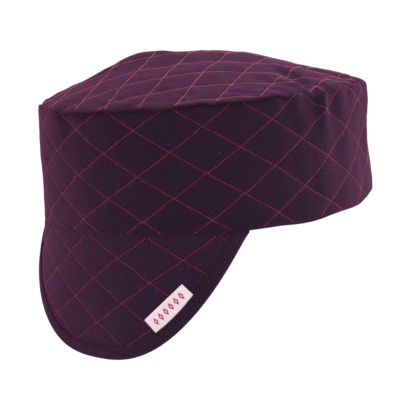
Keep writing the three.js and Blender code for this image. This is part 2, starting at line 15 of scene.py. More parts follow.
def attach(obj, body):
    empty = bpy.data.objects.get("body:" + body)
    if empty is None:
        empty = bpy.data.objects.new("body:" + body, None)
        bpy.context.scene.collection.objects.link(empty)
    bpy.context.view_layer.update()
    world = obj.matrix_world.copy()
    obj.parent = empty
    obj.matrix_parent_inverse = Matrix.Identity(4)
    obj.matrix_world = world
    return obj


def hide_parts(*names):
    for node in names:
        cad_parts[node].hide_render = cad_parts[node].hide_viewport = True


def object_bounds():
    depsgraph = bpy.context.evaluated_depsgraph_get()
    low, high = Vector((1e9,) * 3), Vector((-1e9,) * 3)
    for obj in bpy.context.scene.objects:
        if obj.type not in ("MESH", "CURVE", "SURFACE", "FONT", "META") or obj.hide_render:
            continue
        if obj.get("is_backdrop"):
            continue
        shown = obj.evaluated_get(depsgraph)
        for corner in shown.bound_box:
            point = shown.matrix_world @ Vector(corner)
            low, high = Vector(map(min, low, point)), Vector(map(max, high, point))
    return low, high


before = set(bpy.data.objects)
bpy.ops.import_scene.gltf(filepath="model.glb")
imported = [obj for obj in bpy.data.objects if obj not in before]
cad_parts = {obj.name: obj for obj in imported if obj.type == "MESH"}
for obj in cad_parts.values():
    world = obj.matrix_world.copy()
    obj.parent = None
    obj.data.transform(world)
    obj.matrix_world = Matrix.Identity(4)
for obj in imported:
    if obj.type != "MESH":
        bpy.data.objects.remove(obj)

cad_box = [list(corner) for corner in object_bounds()]
print("CAD nodes:", ", ".join(sorted(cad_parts)))

# %% [markdown]
# ## Sizes
# The pattern of a cap is a few curves: the rim round the head, the seam round the top, and the free
# edge of the bill. They could be drawn by hand as curves. Here they are numbers, the same ones that
# the solids follow, so that the cloth lies where the solids are and every size is changed in one
# place. Short tables name each soft fold, so one row is one fold. Angles in degrees are counted from
# the front towards the wearer's left.

# %% The cap's sizes, in millimetres
MM = 0.001
WALL = 2.8
RIM = {"half_width": 92.5, "half_length": 97.8, "side_drop": 1.6}
SEAM = {"half_width": 88.8, "half_length": 100.6, "shift_x": 6.3, "shift_y": -3.6}
HEIGHT = {"middle": 65.6, "front": 3.5, "left": 1.9, "saddle": -0.6}
SHOULDER = 4.0
OVERHANG = {"far": 2.9, "from": -44, "full": -30, "fading": 104, "to": 118}
LIP = {"from": -24, "full": -8, "fading": 70, "to": 84, "reach": 1.2, "under": 0.8, "thick": 0.9,
       "level": 0.9, "tuck_from": 7.0, "tuck_to": 1.5}
TENT = {"rise": 20.6, "peak_x": -0.25, "peak_y": -0.03, "blunt": 0.4}
BILL = {"half_angle": 58.9, "drop": 70.4, "outline": 2.66, "end": 1.31, "wall": 2.4, "set_back": 0.5}
LEAN = {"middle": -0.069, "middle_curl": 0.077, "ends": 0.395, "ends_curl": -0.052}
TAPE = {"width": 7.0, "least": 1.8, "end_drop": 1.2, "below_seam": 0.3}
LABEL = {"from": 45.2, "to": 67.6, "inset": 7.2, "start_width": 8.9, "end_width": 7.8}
DIAMONDS_ROUND = 16
DIAMOND_SHORT = 24.8
STITCH_PITCH = 1.25

# Soft folds down the band: angle from the front, half width, depth (minus stands out), low, high
BAND_FOLDS = [
    (4, 26, 0.4, 44, 70), (84.5, 8, 1.6, 44, 94), (88.5, 6, -1.5, 40, 84), (93, 7, 1.2, 46, 82),
    (88, 10, -0.7, 6, 60), (100, 13, -0.5, 14, 72), (130, 18, 1.3, 14, 58), (131, 16, -1.0, -8, 20),
    (127, 16, -0.5, 42, 62), (133, 16, 0.9, 50, 80), (176, 24, 1.2, 30, 70), (114, 12, 1.0, -14, 76),
    (98, 10, -0.5, -10, 24), (262, 10, 1.6, 18, 72), (306, 22, 0.6, 20, 72), (319, 24, 1.2, 40, 86),
    (320, 20, 0.6, -10, 70),
]
# Puckers of the top seam: angle, half width, drop
PUCKERS = [
    (5, 22, 0.6), (33, 9, 0.9), (86.2, 6, 1.9), (92.8, 6, 2.2), (117, 6, 2.6), (137, 14, 1.9),
    (165, 10, 1.5), (214, 8, 2.2), (262, 8, 2.4), (315, 14, 1.6),
]
# Sags of the rim: angle, half width, drop
RIM_SAGS = [(80, 22, 1.3), (106, 20, 0.7), (263, 26, 0.9)]
# Creases and ridges of the top panel: from x, y to x, y, half width, depth
TOP_CREASES = [
    (64, 2, 84, -7, 8, 2.6), (66, -16, 84, -14, 9, -1.2),
    (-18, -42, 26, 10, 22, -2.0), (-54, -38, -34, -46, 16, 2.3), (-42, -62, -36, -58, 12, 1.5),
    (-13, -33, -6, -25, 12, -1.3), (6, -8, 18, 4, 12, 0.6),
    (-30, 44, 26, 52, 20, 2.2), (52, 34, 74, 44, 7, 1.6), (44, 62, 50, 74, 13, 1.3),
    (-66, 14, -44, 4, 8, 1.6),
]
print(len(BAND_FOLDS), "folds of the band,", len(PUCKERS), "puckers of the seam,", len(RIM_SAGS),
      "sags of the rim,", len(TOP_CREASES), "creases of the top")

# %% [markdown]
# ## The camera
# The photograph looks at the cap from its front left, a little from above, from about nine tenths of
# a metre away. The picture is turned by a few degrees, so the camera rolls too. A tracking constraint
# could aim the camera, but it can't roll it, so its three directions are worked out here. A long lens
# keeps the sides of the band nearly parallel.

# %% Camera
CAMERA = {"azimuth": 44.202, "elevation": 10.738, "roll": 4.404, "distance": 0.8995, "lens": 138.2,
          "sensor": 36.0, "near": 0.05, "far": 100.0}
AIM = {"right": -0.004887, "up": -0.000134}


def side_of(azimuth, elevation):
    """Direction from the cap to a place at these angles, in radians."""
    return Vector((math.sin(azimuth) * math.cos(elevation), -math.cos(azimuth) * math.cos(elevation),
                   math.sin(elevation)))


def camera_axes(azimuth, elevation, roll):
    """The level right, then right, up and back of a rolled camera that looks from this side."""
    back = side_of(azimuth, elevation)
    right = Vector((math.cos(azimuth), math.sin(azimuth), 0.0))
    up = back.cross(right)
    turned_right = right * math.cos(roll) - up * math.sin(roll)
    turned_up = right * math.sin(roll) + up * math.cos(roll)
    return right, turned_right, turned_up, back


def add_camera():
    turns = [math.radians(CAMERA[key]) for key in ("azimuth", "elevation", "roll")]
    level, right, up, back = camera_axes(*turns)
    aim = level * AIM["right"] + Vector((0.0, 0.0, AIM["up"]))
    camera = bpy.data.objects.new("photo_camera", bpy.data.cameras.new("photo_camera"))
    camera.data.lens = CAMERA["lens"]
    camera.data.sensor_width = CAMERA["sensor"]
    camera.data.clip_start = CAMERA["near"]
    camera.data.clip_end = CAMERA["far"]
    axes = Matrix((right, up, back)).transposed().to_4x4()
    camera.matrix_world = Matrix.Translation(aim + back * CAMERA["distance"]) @ axes
    bpy.context.scene.collection.objects.link(camera)
    bpy.context.scene.camera = camera
    return camera


camera = add_camera()
print("camera at", [round(value, 3) for value in camera.matrix_world.translation])

# %% [markdown]
# ## The studio
# The photograph has a white ground and no shadow, and the cloth is lightest where it turns away from
# the lens. A white surrounding alone would light every side alike, so large soft lights stand left,
# right and above as well. A cap that is worn is held up, so the pale floor lies well below it.

# %% Lights, floor and surroundings
LIGHTS = [
    {"name": "soft_right", "azimuth": 150, "elevation": 22, "distance": 1.4, "size": 1.0, "power": 16.0,
     "colour": (1.0, 1.0, 1.0)},
    {"name": "soft_left", "azimuth": -68, "elevation": 18, "distance": 1.5, "size": 1.0, "power": 6.0,
     "colour": (1.0, 0.30, 0.5)},
    {"name": "soft_top", "azimuth": 60, "elevation": 78, "distance": 1.5, "size": 1.2, "power": 10,
     "colour": (1.0, 1.0, 1.0)},
]
FLOOR = {"height": -1.6, "half_size": 40.0, "colour": (0.97, 0.97, 0.97), "roughness": 0.9}
ROOM = {"colour": (1.0, 1.0, 1.0), "strength": 1.06}


def add_light(name, azimuth, elevation, distance, size, power, colour):
    data = bpy.data.lights.new(name, "AREA")
    data.shape = "DISK"
    data.size = size
    data.energy = power
    data.color = colour
    light = bpy.data.objects.new(name, data)
    side = side_of(math.radians(azimuth), math.radians(elevation))
    light.location = side * distance
    light.rotation_mode = "QUATERNION"
    light.rotation_quaternion = side.to_track_quat("Z", "Y")
    bpy.context.scene.collection.objects.link(light)


def add_floor(height, half_size, colour, roughness):
    material = bpy.data.materials.new("pale_floor")
    material.use_nodes = True
    shader = material.node_tree.nodes["Principled BSDF"]
    shader.inputs["Base Color"].default_value = (*colour, 1.0)
    shader.inputs["Roughness"].default_value = roughness
    mesh = bpy.data.meshes.new("floor")
    corners = [(-1, -1), (1, -1), (1, 1), (-1, 1)]
    mesh.from_pydata([(x * half_size, y * half_size, height) for x, y in corners], [], [(0, 1, 2, 3)])
    mesh.materials.append(material)
    floor = bpy.data.objects.new("floor", mesh)
    bpy.context.scene.collection.objects.link(floor)
    floor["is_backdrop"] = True


def light_room(colour, strength):
    world = bpy.data.worlds.new("pale_room")
    world.use_nodes = True
    background = world.node_tree.nodes["Background"]
    background.inputs["Color"].default_value = (*colour, 1.0)
    background.inputs["Strength"].default_value = strength
    bpy.context.scene.world = world


for row in LIGHTS:
    add_light(**row)
add_floor(**FLOOR)
light_room(**ROOM)
bpy.context.scene.view_settings.view_transform = "Standard"
print(len(LIGHTS), "soft lights over a pale floor")

# %% [markdown]
# ## The shape of the cloth
# A worn cap could be sculpted by hand, or draped by a cloth simulation. Both would move the seams away
# from the outline that the photograph shows. So every panel is a formula: it takes places on the flat
# cloth and gives points of the worn cap. The formulas work on whole arrays, so a panel of fifty
# thousand points takes a moment. Two small curves are used everywhere: a smooth step, and a bell that
# fades to nothing.


# %% Small curves and unevenness
FULL_TURN = 2.0 * np.pi
WAVES = 16


def smooth(low, high, value):
    """0 below low, 1 above high, and a soft step between them."""
    part = np.clip((value - low) / (high - low), 0.0, 1.0)
    return part * part * (3.0 - 2.0 * part)


def bell(distance, half):
    """1 at a place, fading softly to 0 at half on both sides."""
    part = np.minimum(1.0, np.abs(distance) / half)
    return (1.0 - part * part) ** 2


def close_to(distance, reach):
    """1 at a place, falling evenly to 0 at this reach."""
    return np.clip(1.0 - distance / reach, 0.0, 1.0)


def half_turn(angle):
    """The same angle, between minus half a turn and half a turn."""
    return np.mod(angle + np.pi, FULL_TURN) - np.pi


def unit(vectors):
    return vectors / np.linalg.norm(vectors, axis=-1, keepdims=True)


def unevenness(points, size, seed):
    """Soft random swells of about this size in mm, between about -1 and 1."""
    chance = np.random.default_rng(seed)
    ways = unit(chance.normal(size=(WAVES, 3))) * chance.uniform(0.7, 1.4, (WAVES, 1))
    phases = chance.uniform(0.0, FULL_TURN, WAVES)
    return np.cos(points @ ways.T * (FULL_TURN / size) + phases).sum(-1) / np.sqrt(2.0 * WAVES)


def swells(points, rows):
    """Sum of swells, each a height, a size and a seed."""
    return sum(height * unevenness(points, size, seed) for height, size, seed in rows)


def gathers(points, from_seam, height, size, tall, seed, middle, reach):
    """Small upright folds, deepest at middle mm from the seam and gone at reach mm from there."""
    return height * unevenness(points * (1.0, 1.0, tall), size, seed) * bell(from_seam - middle, reach)


def upright(direction, amount):
    """A direction turned towards straight up, fully where the amount is 1."""
    return unit(direction * (1.0 - amount)[..., None] + amount[..., None] * (0.0, 0.0, 1.0))


def normal_of(surface, u, v, step=0.4):
    """Outward direction of a surface(u, v) by looking a little to each side."""
    across = surface(u + step, v) - surface(u - step, v)
    up = surface(u, v + step) - surface(u, v - step)
    return unit(np.cross(across, up))


print("a bell is", bell(0.5, 1.0), "high halfway out, a smooth step", smooth(0.0, 1.0, 0.5))

# %% Rim, seam and the length round the band
def stack(x, y, z):
    return np.stack(np.broadcast_arrays(x, y, z), axis=-1)


def around_the_cap(angle, degrees):
    """Distance in mm round the band from a place given in degrees."""
    return half_turn(angle - np.radians(degrees)) * (RIM["half_width"] + RIM["half_length"]) / 2.0


def dips(rows, angle):
    """Sum of soft dips, each an angle, a half width and a drop."""
    return sum(drop * bell(around_the_cap(angle, at), half) for at, half, drop in rows)


def rim_curve(angle):
    sine, cosine = np.sin(angle), np.cos(angle)
    z = -RIM["side_drop"] * sine**2 - dips(RIM_SAGS, angle)
    return stack(RIM["half_width"] * sine, -RIM["half_length"] * cosine, z)


def seam_height(x, y):
    level = HEIGHT["middle"] - HEIGHT["front"] * y + HEIGHT["left"] * x
    return level + HEIGHT["saddle"] * (y * y - x * x)


def seam_curve(angle):
    x, y = np.sin(angle), -np.cos(angle)
    return stack(SEAM["half_width"] * x + SEAM["shift_x"], SEAM["half_length"] * y + SEAM["shift_y"],
                 seam_height(x, y))


ANGLES = np.linspace(0.0, FULL_TURN, 1441)
MIDDLE = (rim_curve(ANGLES) + seam_curve(ANGLES))[:, :2] / 2.0
LENGTHS = np.concatenate([[0.0], np.cumsum(np.linalg.norm(np.diff(MIDDLE, axis=0), axis=1))])
ROUND = LENGTHS[-1]
DIAMOND_LONG = ROUND / DIAMONDS_ROUND


def angle_at(length):
    """Angle round the cap at a length along the middle of the band."""
    turns = np.floor(length / ROUND)
    return np.interp(length - turns * ROUND, LENGTHS, ANGLES) + turns * FULL_TURN


def length_at(angle):
    """Length along the middle of the band at an angle round the cap."""
    turns = np.floor(angle / FULL_TURN)
    return np.interp(angle - turns * FULL_TURN, ANGLES, LENGTHS) + turns * ROUND


def outward(angle):
    """Level direction straight out of the cap."""
    return stack(np.sin(angle), -np.cos(angle), 0.0)


def stretch(row, angle):
    """1 on a stretch of the seam, fading to 0 at its two ends, which the row gives in degrees."""
    degrees = np.degrees(half_turn(angle))
    return smooth(row["from"], row["full"], degrees) * (1.0 - smooth(row["fading"], row["to"], degrees))


def overhang(angle):
    """How far the top panel reaches over the band's shoulder, at the front and on the left."""
    return OVERHANG["far"] * stretch(OVERHANG, angle)


def lip(angle):
    """1 where the top's edge bulges over the band, 0 where the two meet on the shoulder."""
    return stretch(LIP, angle)


def shoulder_at(angle):
    """Radius of the band's shoulder."""
    return SHOULDER - overhang(angle)


print(f"round the band {ROUND:.1f} mm, a diamond is {DIAMOND_LONG:.1f} by {DIAMOND_SHORT:.1f} mm")

# %% [markdown]
# ## Quilting
# Two layers of twill hold thin batting, sewn through in diamonds. The padding could be painted as a
# bump, but then the outline would stay flat, so it is real relief. Counted along the two families of
# stitch lines, every line lies at a whole number, so the distance to the nearest line is easy to
# find, and the cloth rises a little between the lines.

# %% Quilting lattices
BAND_LATTICE = {"u": 0.0, "v": 57.2, "turn": 0.0, "long": DIAMOND_LONG, "short": DIAMOND_SHORT}
BILL_LATTICE = {"u": 1.8, "v": -0.5, "turn": 0.0, "long": DIAMOND_LONG, "short": DIAMOND_SHORT}
TOP_LATTICE = {"u": 3.2, "v": -94.3, "turn": 1.475, "long": 38.9, "short": 22.1}
PUFF = {"height": 0.42, "top_height": 0.3, "reach": 3.6, "fill": 1.05}


def to_lines(lattice, u, v):
    """Position counted in lines of the two families."""
    du, dv = u - lattice["u"], v - lattice["v"]
    cosine, sine = math.cos(lattice["turn"]), math.sin(lattice["turn"])
    along = (du * cosine + dv * sine) / lattice["long"]
    across = (dv * cosine - du * sine) / lattice["short"]
    return along + across, along - across


def from_lines(lattice, first, second):
    """Flat place from a position counted in lines."""
    along = (first + second) / 2.0 * lattice["long"]
    across = (first - second) / 2.0 * lattice["short"]
    cosine, sine = math.cos(lattice["turn"]), math.sin(lattice["turn"])
    return (lattice["u"] + along * cosine - across * sine,
            lattice["v"] + along * sine + across * cosine)


def line_gap(lattice):
    """Distance between two neighbouring stitch lines of a family."""
    return lattice["long"] * lattice["short"] / math.hypot(lattice["long"], lattice["short"])


def puff(lattice, u, v, full=PUFF["height"]):
    """Height of the padding, which is 0 on every stitch line."""
    height = full
    for count in to_lines(lattice, u, v):
        distance = np.abs(count - np.round(count)) * line_gap(lattice)
        height = height * (1.0 - np.exp(-distance / PUFF["reach"])) * PUFF["fill"]
    return height


for panel, lattice in (("band", BAND_LATTICE), ("bill", BILL_LATTICE), ("top", TOP_LATTICE)):
    print(f"stitch lines of the {panel}: every {line_gap(lattice):.1f} mm")

# %% [markdown]
# ## The band
# The band is one long strip. It stands up from the rim, leans a little as the head pushes it, and
# turns inwards over a small shoulder to meet the top panel. A bent grid with a Solidify modifier
# would do for a plain strip, but the shoulder, the folds and the gathers that run down from the
# hand-eased seam are easier to place in one formula.


# %% The band's formula
BAND_SWELLS = [(0.45, 42.0, 3), (0.22, 15.0, 5)]
BAND_GATHERS = {"height": 0.5, "size": 11.0, "tall": 0.25, "seed": 8, "middle": 3.0, "reach": 14.0}
# How deep a panel's edge rolls into the top seam, and how wide the roll is on each panel
SEAM_ROLL = {"depth": 1.5, "band_width": 3.2, "top_width": 3.6}
# How far the puckers of the seam reach into each panel
PUCKER_REACH = {"band": 14.0, "top": 16.0}


def band_fold(angle, height):
    """How deep the soft folds go at a place."""
    depth = 0.0
    for at, half, deep, low, high in BAND_FOLDS:
        level = bell(height - (low + high) / 2.0, (high - low) / 2.0)
        depth = depth + deep * bell(around_the_cap(angle, at), half) * level
    return depth


def band_end(u):
    """Length of cloth from the rim to the top seam."""
    angle = angle_at(u)
    return seam_curve(angle)[..., 2] + shoulder_at(angle) * (np.pi / 2.0 - 1.0)


def band_base(u, s):
    """The band's outer face before the padding: u runs round, s runs up the cloth."""
    angle = angle_at(u)
    rim, seam = rim_curve(angle), seam_curve(angle)
    full, round_off = seam[..., 2], shoulder_at(angle)
    start = full - round_off
    turn = np.clip((s - start) / round_off, 0.0, np.pi / 2.0)
    level = np.where(turn > 0.0, start + round_off * np.sin(turn), s)
    point = rim + (seam - rim) * (level / full)[..., None]
    inset = round_off * (1.0 - np.cos(turn)) + band_fold(angle, level) * np.cos(turn)
    inset = inset + np.maximum(0.0, s - start - round_off * np.pi / 2.0)
    tucked = smooth(full - LIP["tuck_from"], full - LIP["tuck_to"], level)
    inset = inset + LIP["under"] * lip(angle) * tucked
    point = point - outward(angle) * inset[..., None]
    point[..., 2] -= dips(PUCKERS, angle) * smooth(full - PUCKER_REACH["band"], full, level)
    return point


def slack(base, from_seam):
    """Swells and gathers of the band, which the top panel shares at the seam."""
    return swells(base, BAND_SWELLS) + gathers(base, from_seam, **BAND_GATHERS)


def band_relief(u, s, base):
    from_seam = band_end(u) - s
    height = puff(BAND_LATTICE, u, s) * smooth(-1.0, 4.0, from_seam) * smooth(-1.0, 3.0, s)
    roll = SEAM_ROLL["depth"] * close_to(from_seam, SEAM_ROLL["band_width"]) ** 2
    return height + slack(base, from_seam) - roll


def band_cloth(u, s, depth=0.0):
    """A point of the finished band, this deep in its cloth."""
    base = band_base(u, s)
    direction = upright(normal_of(band_base, u, s), 1.0 - smooth(0.0, 1.5, band_end(u) - s))
    lift = band_relief(u, s, base) - depth
    return base + direction * lift[..., None]


heights = band_end(np.arange(0.0, ROUND, 1.0))
print(f"the band's cloth is {heights.min():.1f} to {heights.max():.1f} mm from the rim to the seam")

# %% [markdown]
# ## The top panel
# The top is an oval that rises like a slack tent to one soft peak, with creases where the cloth is
# eased into the seam. A pinned cloth simulation would make such creases, but in places of its own. In
# a table each crease of the photograph has its own row. The edge rolls down into the seam.


# %% The top panel's formula
TOP_SWELLS = [(0.5, 38.0, 11), (0.22, 14.0, 12)]
TOP_GATHERS = {"height": 0.45, "size": 10.0, "tall": 0.3, "seed": 13, "middle": 4.0, "reach": 12.0}
# How far from the top's edge these begin or end
TOP_EDGE = {"creases": 10.0, "padding": 5.0, "upright": 6.0, "own_swells": 9.0}


def panel_half(angle):
    """Half width and half length of the top panel, which reaches farther out where it hangs over."""
    reach = overhang(angle) - SHOULDER + LIP["reach"] * lip(angle)
    return SEAM["half_width"] + reach, SEAM["half_length"] + reach


def panel_place(x, y):
    """A place on the top panel counted from its middle: 1 is its edge."""
    across, along = x - SEAM["shift_x"], y - SEAM["shift_y"]
    half_width, half_length = panel_half(0.0)
    half_width, half_length = panel_half(np.arctan2(across / half_width, -along / half_length))
    return across / half_width, along / half_length


def reach_out(x, y):
    """0 at the tent's peak, 1 at the seam."""
    dx, dy = x - TENT["peak_x"], y - TENT["peak_y"]
    square = dx * dx + dy * dy + 1e-9
    cross = TENT["peak_x"] * dx + TENT["peak_y"] * dy
    rest = TENT["peak_x"] ** 2 + TENT["peak_y"] ** 2 - 1.0
    return square / (-cross + np.sqrt(cross * cross - square * rest))


def tent_curve(out):
    """A cone with a blunt tip."""
    return (out**4 + TENT["blunt"] ** 4) ** 0.25


def crease_depth(x, y):
    depth = 0.0
    for x1, y1, x2, y2, half, deep in TOP_CREASES:
        run = np.array([x2 - x1, y2 - y1])
        part = np.clip(((x - x1) * run[0] + (y - y1) * run[1]) / (run @ run), 0.0, 1.0)
        distance = np.hypot(x - x1 - part * run[0], y - y1 - part * run[1])
        depth = depth + deep * bell(distance, half)
    return depth


def from_top_edge(x, y):
    """Distance in mm from the panel's edge, inwards."""
    return (1.0 - np.hypot(*panel_place(x, y))) * (SEAM["half_width"] - SHOULDER)


def top_base(x, y):
    across, along = panel_place(x, y)
    edge = from_top_edge(x, y)
    highest, lowest = tent_curve(1.0), tent_curve(0.0)
    tent = (highest - tent_curve(np.minimum(1.0, reach_out(across, along)))) / (highest - lowest)
    z = seam_height(across, along) + TENT["rise"] * tent
    z = z - crease_depth(x, y) * smooth(0.0, TOP_EDGE["creases"], edge)
    puckers = dips(PUCKERS, np.arctan2(across, -along))
    z = z - puckers * (1.0 - smooth(0.0, PUCKER_REACH["top"], edge))
    return stack(x, y, z)


def top_cloth(x, y, depth=0.0):
    """A point of the finished top panel, this deep in its cloth."""
    base = top_base(x, y)
    edge = from_top_edge(x, y)
    direction = upright(normal_of(top_base, x, y), 1.0 - smooth(0.0, TOP_EDGE["upright"], edge))
    lift = puff(TOP_LATTICE, x, y, PUFF["top_height"]) * smooth(0.0, TOP_EDGE["padding"], edge) - depth
    own = swells(base, TOP_SWELLS) + gathers(base, edge, **TOP_GATHERS)
    near = 1.0 - smooth(0.0, TOP_EDGE["own_swells"], edge)
    lift = lift + own * (1.0 - near) + slack(base, edge) * near
    across, along = panel_place(x, y)
    roll = SEAM_ROLL["depth"] - LIP["level"] * lip(np.arctan2(across, -along))
    lift = lift - roll * close_to(edge, SEAM_ROLL["top_width"]) ** 2
    return base + direction * lift[..., None]


peak = top_cloth(np.array([SEAM["shift_x"] + TENT["peak_x"] * SEAM["half_width"]]),
                 np.array([SEAM["shift_y"] + TENT["peak_y"] * SEAM["half_length"]]))
print(f"the tent's peak is {peak[0, 2]:.1f} mm above the rim")

# %% [markdown]
# ## The bill
# The bill is a short soft flap. It follows the rim, hangs almost straight down in the middle and
# stands off a little at its ends. Its free edge is a smooth curve, deepest in the middle. It could be
# cut out of a bent plane, but with the edge as a curve the tape can follow it exactly.


# %% The bill's formula
BILL_SWELL = (0.3, 34.0, 21)
LABEL_MIDDLE = (49.5, -38.5)
# The cloth lies flat within the first distance of the label's middle, padded past the second
LABEL_CALM = (9.0, 17.0)
# At the rim the bill's outer face comes out this far, to lie flush with the band
FLUSH = 0.45
BILL_END = float(length_at(math.radians(BILL["half_angle"])))


def bill_part(u):
    """0 in the middle of the bill, 1 at its ends."""
    return np.minimum(1.0, np.abs(angle_at(u)) / math.radians(BILL["half_angle"]))


def bill_drop(u):
    """How far the bill hangs below the rim."""
    return BILL["drop"] * (1.0 - bill_part(u) ** BILL["outline"]) ** BILL["end"]


def bill_face(u, v, lift=0.0):
    """A point of the smooth bill, v running down from 0 at the rim, lifted off its outer face."""
    angle = angle_at(u)
    middle = np.cos(bill_part(u) * np.pi / 2.0)
    lean = LEAN["middle"] * middle + LEAN["ends"] * (1.0 - middle)
    curl = LEAN["middle_curl"] * middle + LEAN["ends_curl"] * (1.0 - middle)
    out = -lean * v + curl * v * v / BILL["drop"] - BILL["set_back"] + lift
    point = rim_curve(angle) + outward(angle) * np.asarray(out)[..., None]
    point[..., 2] += v
    return point


def edge_inward(u, step=0.05):
    """Direction on the flat cloth from the bill's free edge into the bill."""
    slope = (bill_drop(u + step) - bill_drop(u - step)) / (2.0 * step)
    length = np.hypot(slope, 1.0)
    return slope / length, 1.0 / length


def bill_cloth(u, v, lift=0.0):
    """A point of the finished bill, lifted off its outer face."""
    base = bill_face(u, v, lift)
    from_edge = (v + bill_drop(u)) * edge_inward(u)[1]
    from_label = np.hypot(u - LABEL_MIDDLE[0], v - LABEL_MIDDLE[1])
    relief = puff(BILL_LATTICE, u, v) * smooth(TAPE["width"] - 1.0, TAPE["width"] + 5.0, from_edge)
    relief = relief * smooth(0.0, 4.0, -v) * smooth(*LABEL_CALM, from_label)
    relief = relief + swells(base, [BILL_SWELL]) * smooth(0.0, 12.0, -v)
    relief = relief + FLUSH * (1.0 - smooth(0.0, 9.0, -v)) * smooth(-2.0, 0.0, lift)
    return base + outward(angle_at(u)) * relief[..., None]


print(f"the bill runs {2 * BILL_END:.0f} mm along the rim and hangs {BILL['drop']:.0f} mm")

# %% [markdown]
# ## Adding nodes
# Materials and the stitching tree are both made of nodes. They could be joined by hand in the editor.
# In a script a small helper keeps each one short: it adds a node, and feeds every input either a link
# or a plain value.


# %% Node helpers
class Nodes:
    """Adds nodes to a tree and joins them."""

    def __init__(self, tree):
        self.tree = tree

    def add(self, kind, inputs=None, **settings):
        node = self.tree.nodes.new(kind)
        for key, value in settings.items():
            setattr(node, key, value)
        for key, value in (inputs or {}).items():
            self.feed(node.inputs[key], value)
        return node

    def feed(self, socket, value):
        if isinstance(value, bpy.types.NodeSocket):
            self.tree.links.new(value, socket)
        else:
            socket.default_value = value

    def feed_all(self, node, values):
        for socket, value in zip(node.inputs, values):
            self.feed(socket, value)
        return node.outputs[0]

    def math(self, operation, *values):
        return self.feed_all(self.add("ShaderNodeMath", operation=operation), values)

    def combine(self, *values):
        return self.feed_all(self.add("ShaderNodeCombineXYZ"), values)


class Finish(Nodes):
    """A new material and the nodes that it is made of."""

    def __init__(self, name):
        self.material = bpy.data.materials.new(name)
        self.material.use_nodes = True
        super().__init__(self.material.node_tree)

    def shade(self, inputs):
        """Sets the shader's own inputs, and gives the finished material."""
        for key, value in inputs.items():
            self.feed(self.tree.nodes["Principled BSDF"].inputs[key], value)
        return self.material

    def uv(self, name):
        node = self.add("ShaderNodeUVMap", uv_map=name)
        parts = self.add("ShaderNodeSeparateXYZ", {"Vector": node.outputs[0]})
        return node.outputs[0], parts.outputs[0], parts.outputs[1]

    def place(self):
        return self.add("ShaderNodeTexCoord").outputs["Object"]

    def attribute(self, name):
        return self.add("ShaderNodeAttribute", attribute_name=name).outputs["Fac"]

    def noise(self, vector, scale, detail=2.0, roughness=0.5):
        settings = {"Vector": vector, "Scale": scale, "Detail": detail, "Roughness": roughness}
        return self.add("ShaderNodeTexNoise", settings).outputs["Fac"]

    def waves(self, value, pitch):
        return self.math("SINE", self.math("MULTIPLY", value, 2 * math.pi / pitch))

    def ramp(self, value, stops):
        node = self.add("ShaderNodeValToRGB", {"Fac": value})
        for element, (place, colour) in zip(node.color_ramp.elements, stops):
            element.position = place
            element.color = (*colour, 1.0)
        return node.outputs["Color"]

    def blend(self, amount, first, second, kind="MIX"):
        inputs = {0: amount, 6: first, 7: second}
        return self.add("ShaderNodeMix", inputs, data_type="RGBA", blend_type=kind).outputs[2]

    def bump(self, height_mm, under=None):
        """Relief from a height in millimetres, on top of the relief under it."""
        node = self.add("ShaderNodeBump", {"Height": height_mm, "Distance": MM, "Strength": 1.0})
        if under is not None:
            self.feed(node.inputs["Normal"], under)
        return node.outputs[0]


print("node helpers:", ", ".join(name for name in vars(Finish) if not name.startswith("_")))

# %% [markdown]
# ## Twill
# Twill is woven in fine slanting ridges. A photograph of cloth would repeat and stretch, so the
# pattern is built from the cloth's own UV map, which is the flat cloth in metres: the ridges keep
# their real size on every panel.


# %% The weave
# Pitches in metres, and how strong the ridges and the single yarns are
TWILL = {"ridge_pitch": 0.00108, "yarn_pitch": 0.00100, "slant": math.radians(47),
         "ridge": 0.30, "yarn": 0.20, "wander": 2.6, "wander_scale": 260.0}


def slanting(nodes, u, v, pitch, across, up):
    """Phase of waves at this pitch on the flat cloth, running in this direction."""
    return nodes.math("ADD", nodes.math("MULTIPLY", u, 2 * math.pi / pitch * across),
                      nodes.math("MULTIPLY", v, 2 * math.pi / pitch * up))


def twill_height(nodes, uv, u, v, evenness):
    """Slanting ridges, broken by the single yarns, between 0 and 1."""
    cosine, sine = math.cos(TWILL["slant"]), math.sin(TWILL["slant"])
    wander = nodes.math("MULTIPLY", nodes.noise(uv, TWILL["wander_scale"]), TWILL["wander"])
    parts = []
    for part, across, up in (("ridge", cosine, sine), ("yarn", sine, -cosine)):
        phase = slanting(nodes, u, v, TWILL[part + "_pitch"], across, up)
        wave = nodes.math("SINE", nodes.math("ADD", phase, wander))
        parts.append(nodes.math("MULTIPLY", wave, TWILL[part] * evenness))
    return nodes.math("ADD", nodes.math("ADD", *parts), 0.5)


print("twill ridges every", TWILL["ridge_pitch"] / MM, "mm")

# %% [markdown]
# ## Cloth at the stitches
# A stitch pulls the cloth down, and between two stitches it stands up again, so a sewn line looks
# puckered. That is too fine for the mesh, so it is relief in the material. A second UV map counts the
# stitch lines, which says how near the next line is.


# %% How the cloth sinks at the stitches
# How fast the narrow and the wide dip fade, and the depth and ripple in mm
SINK = {"narrow": -1.6, "wide": -0.16, "depth": -0.30, "ripple": 0.07}


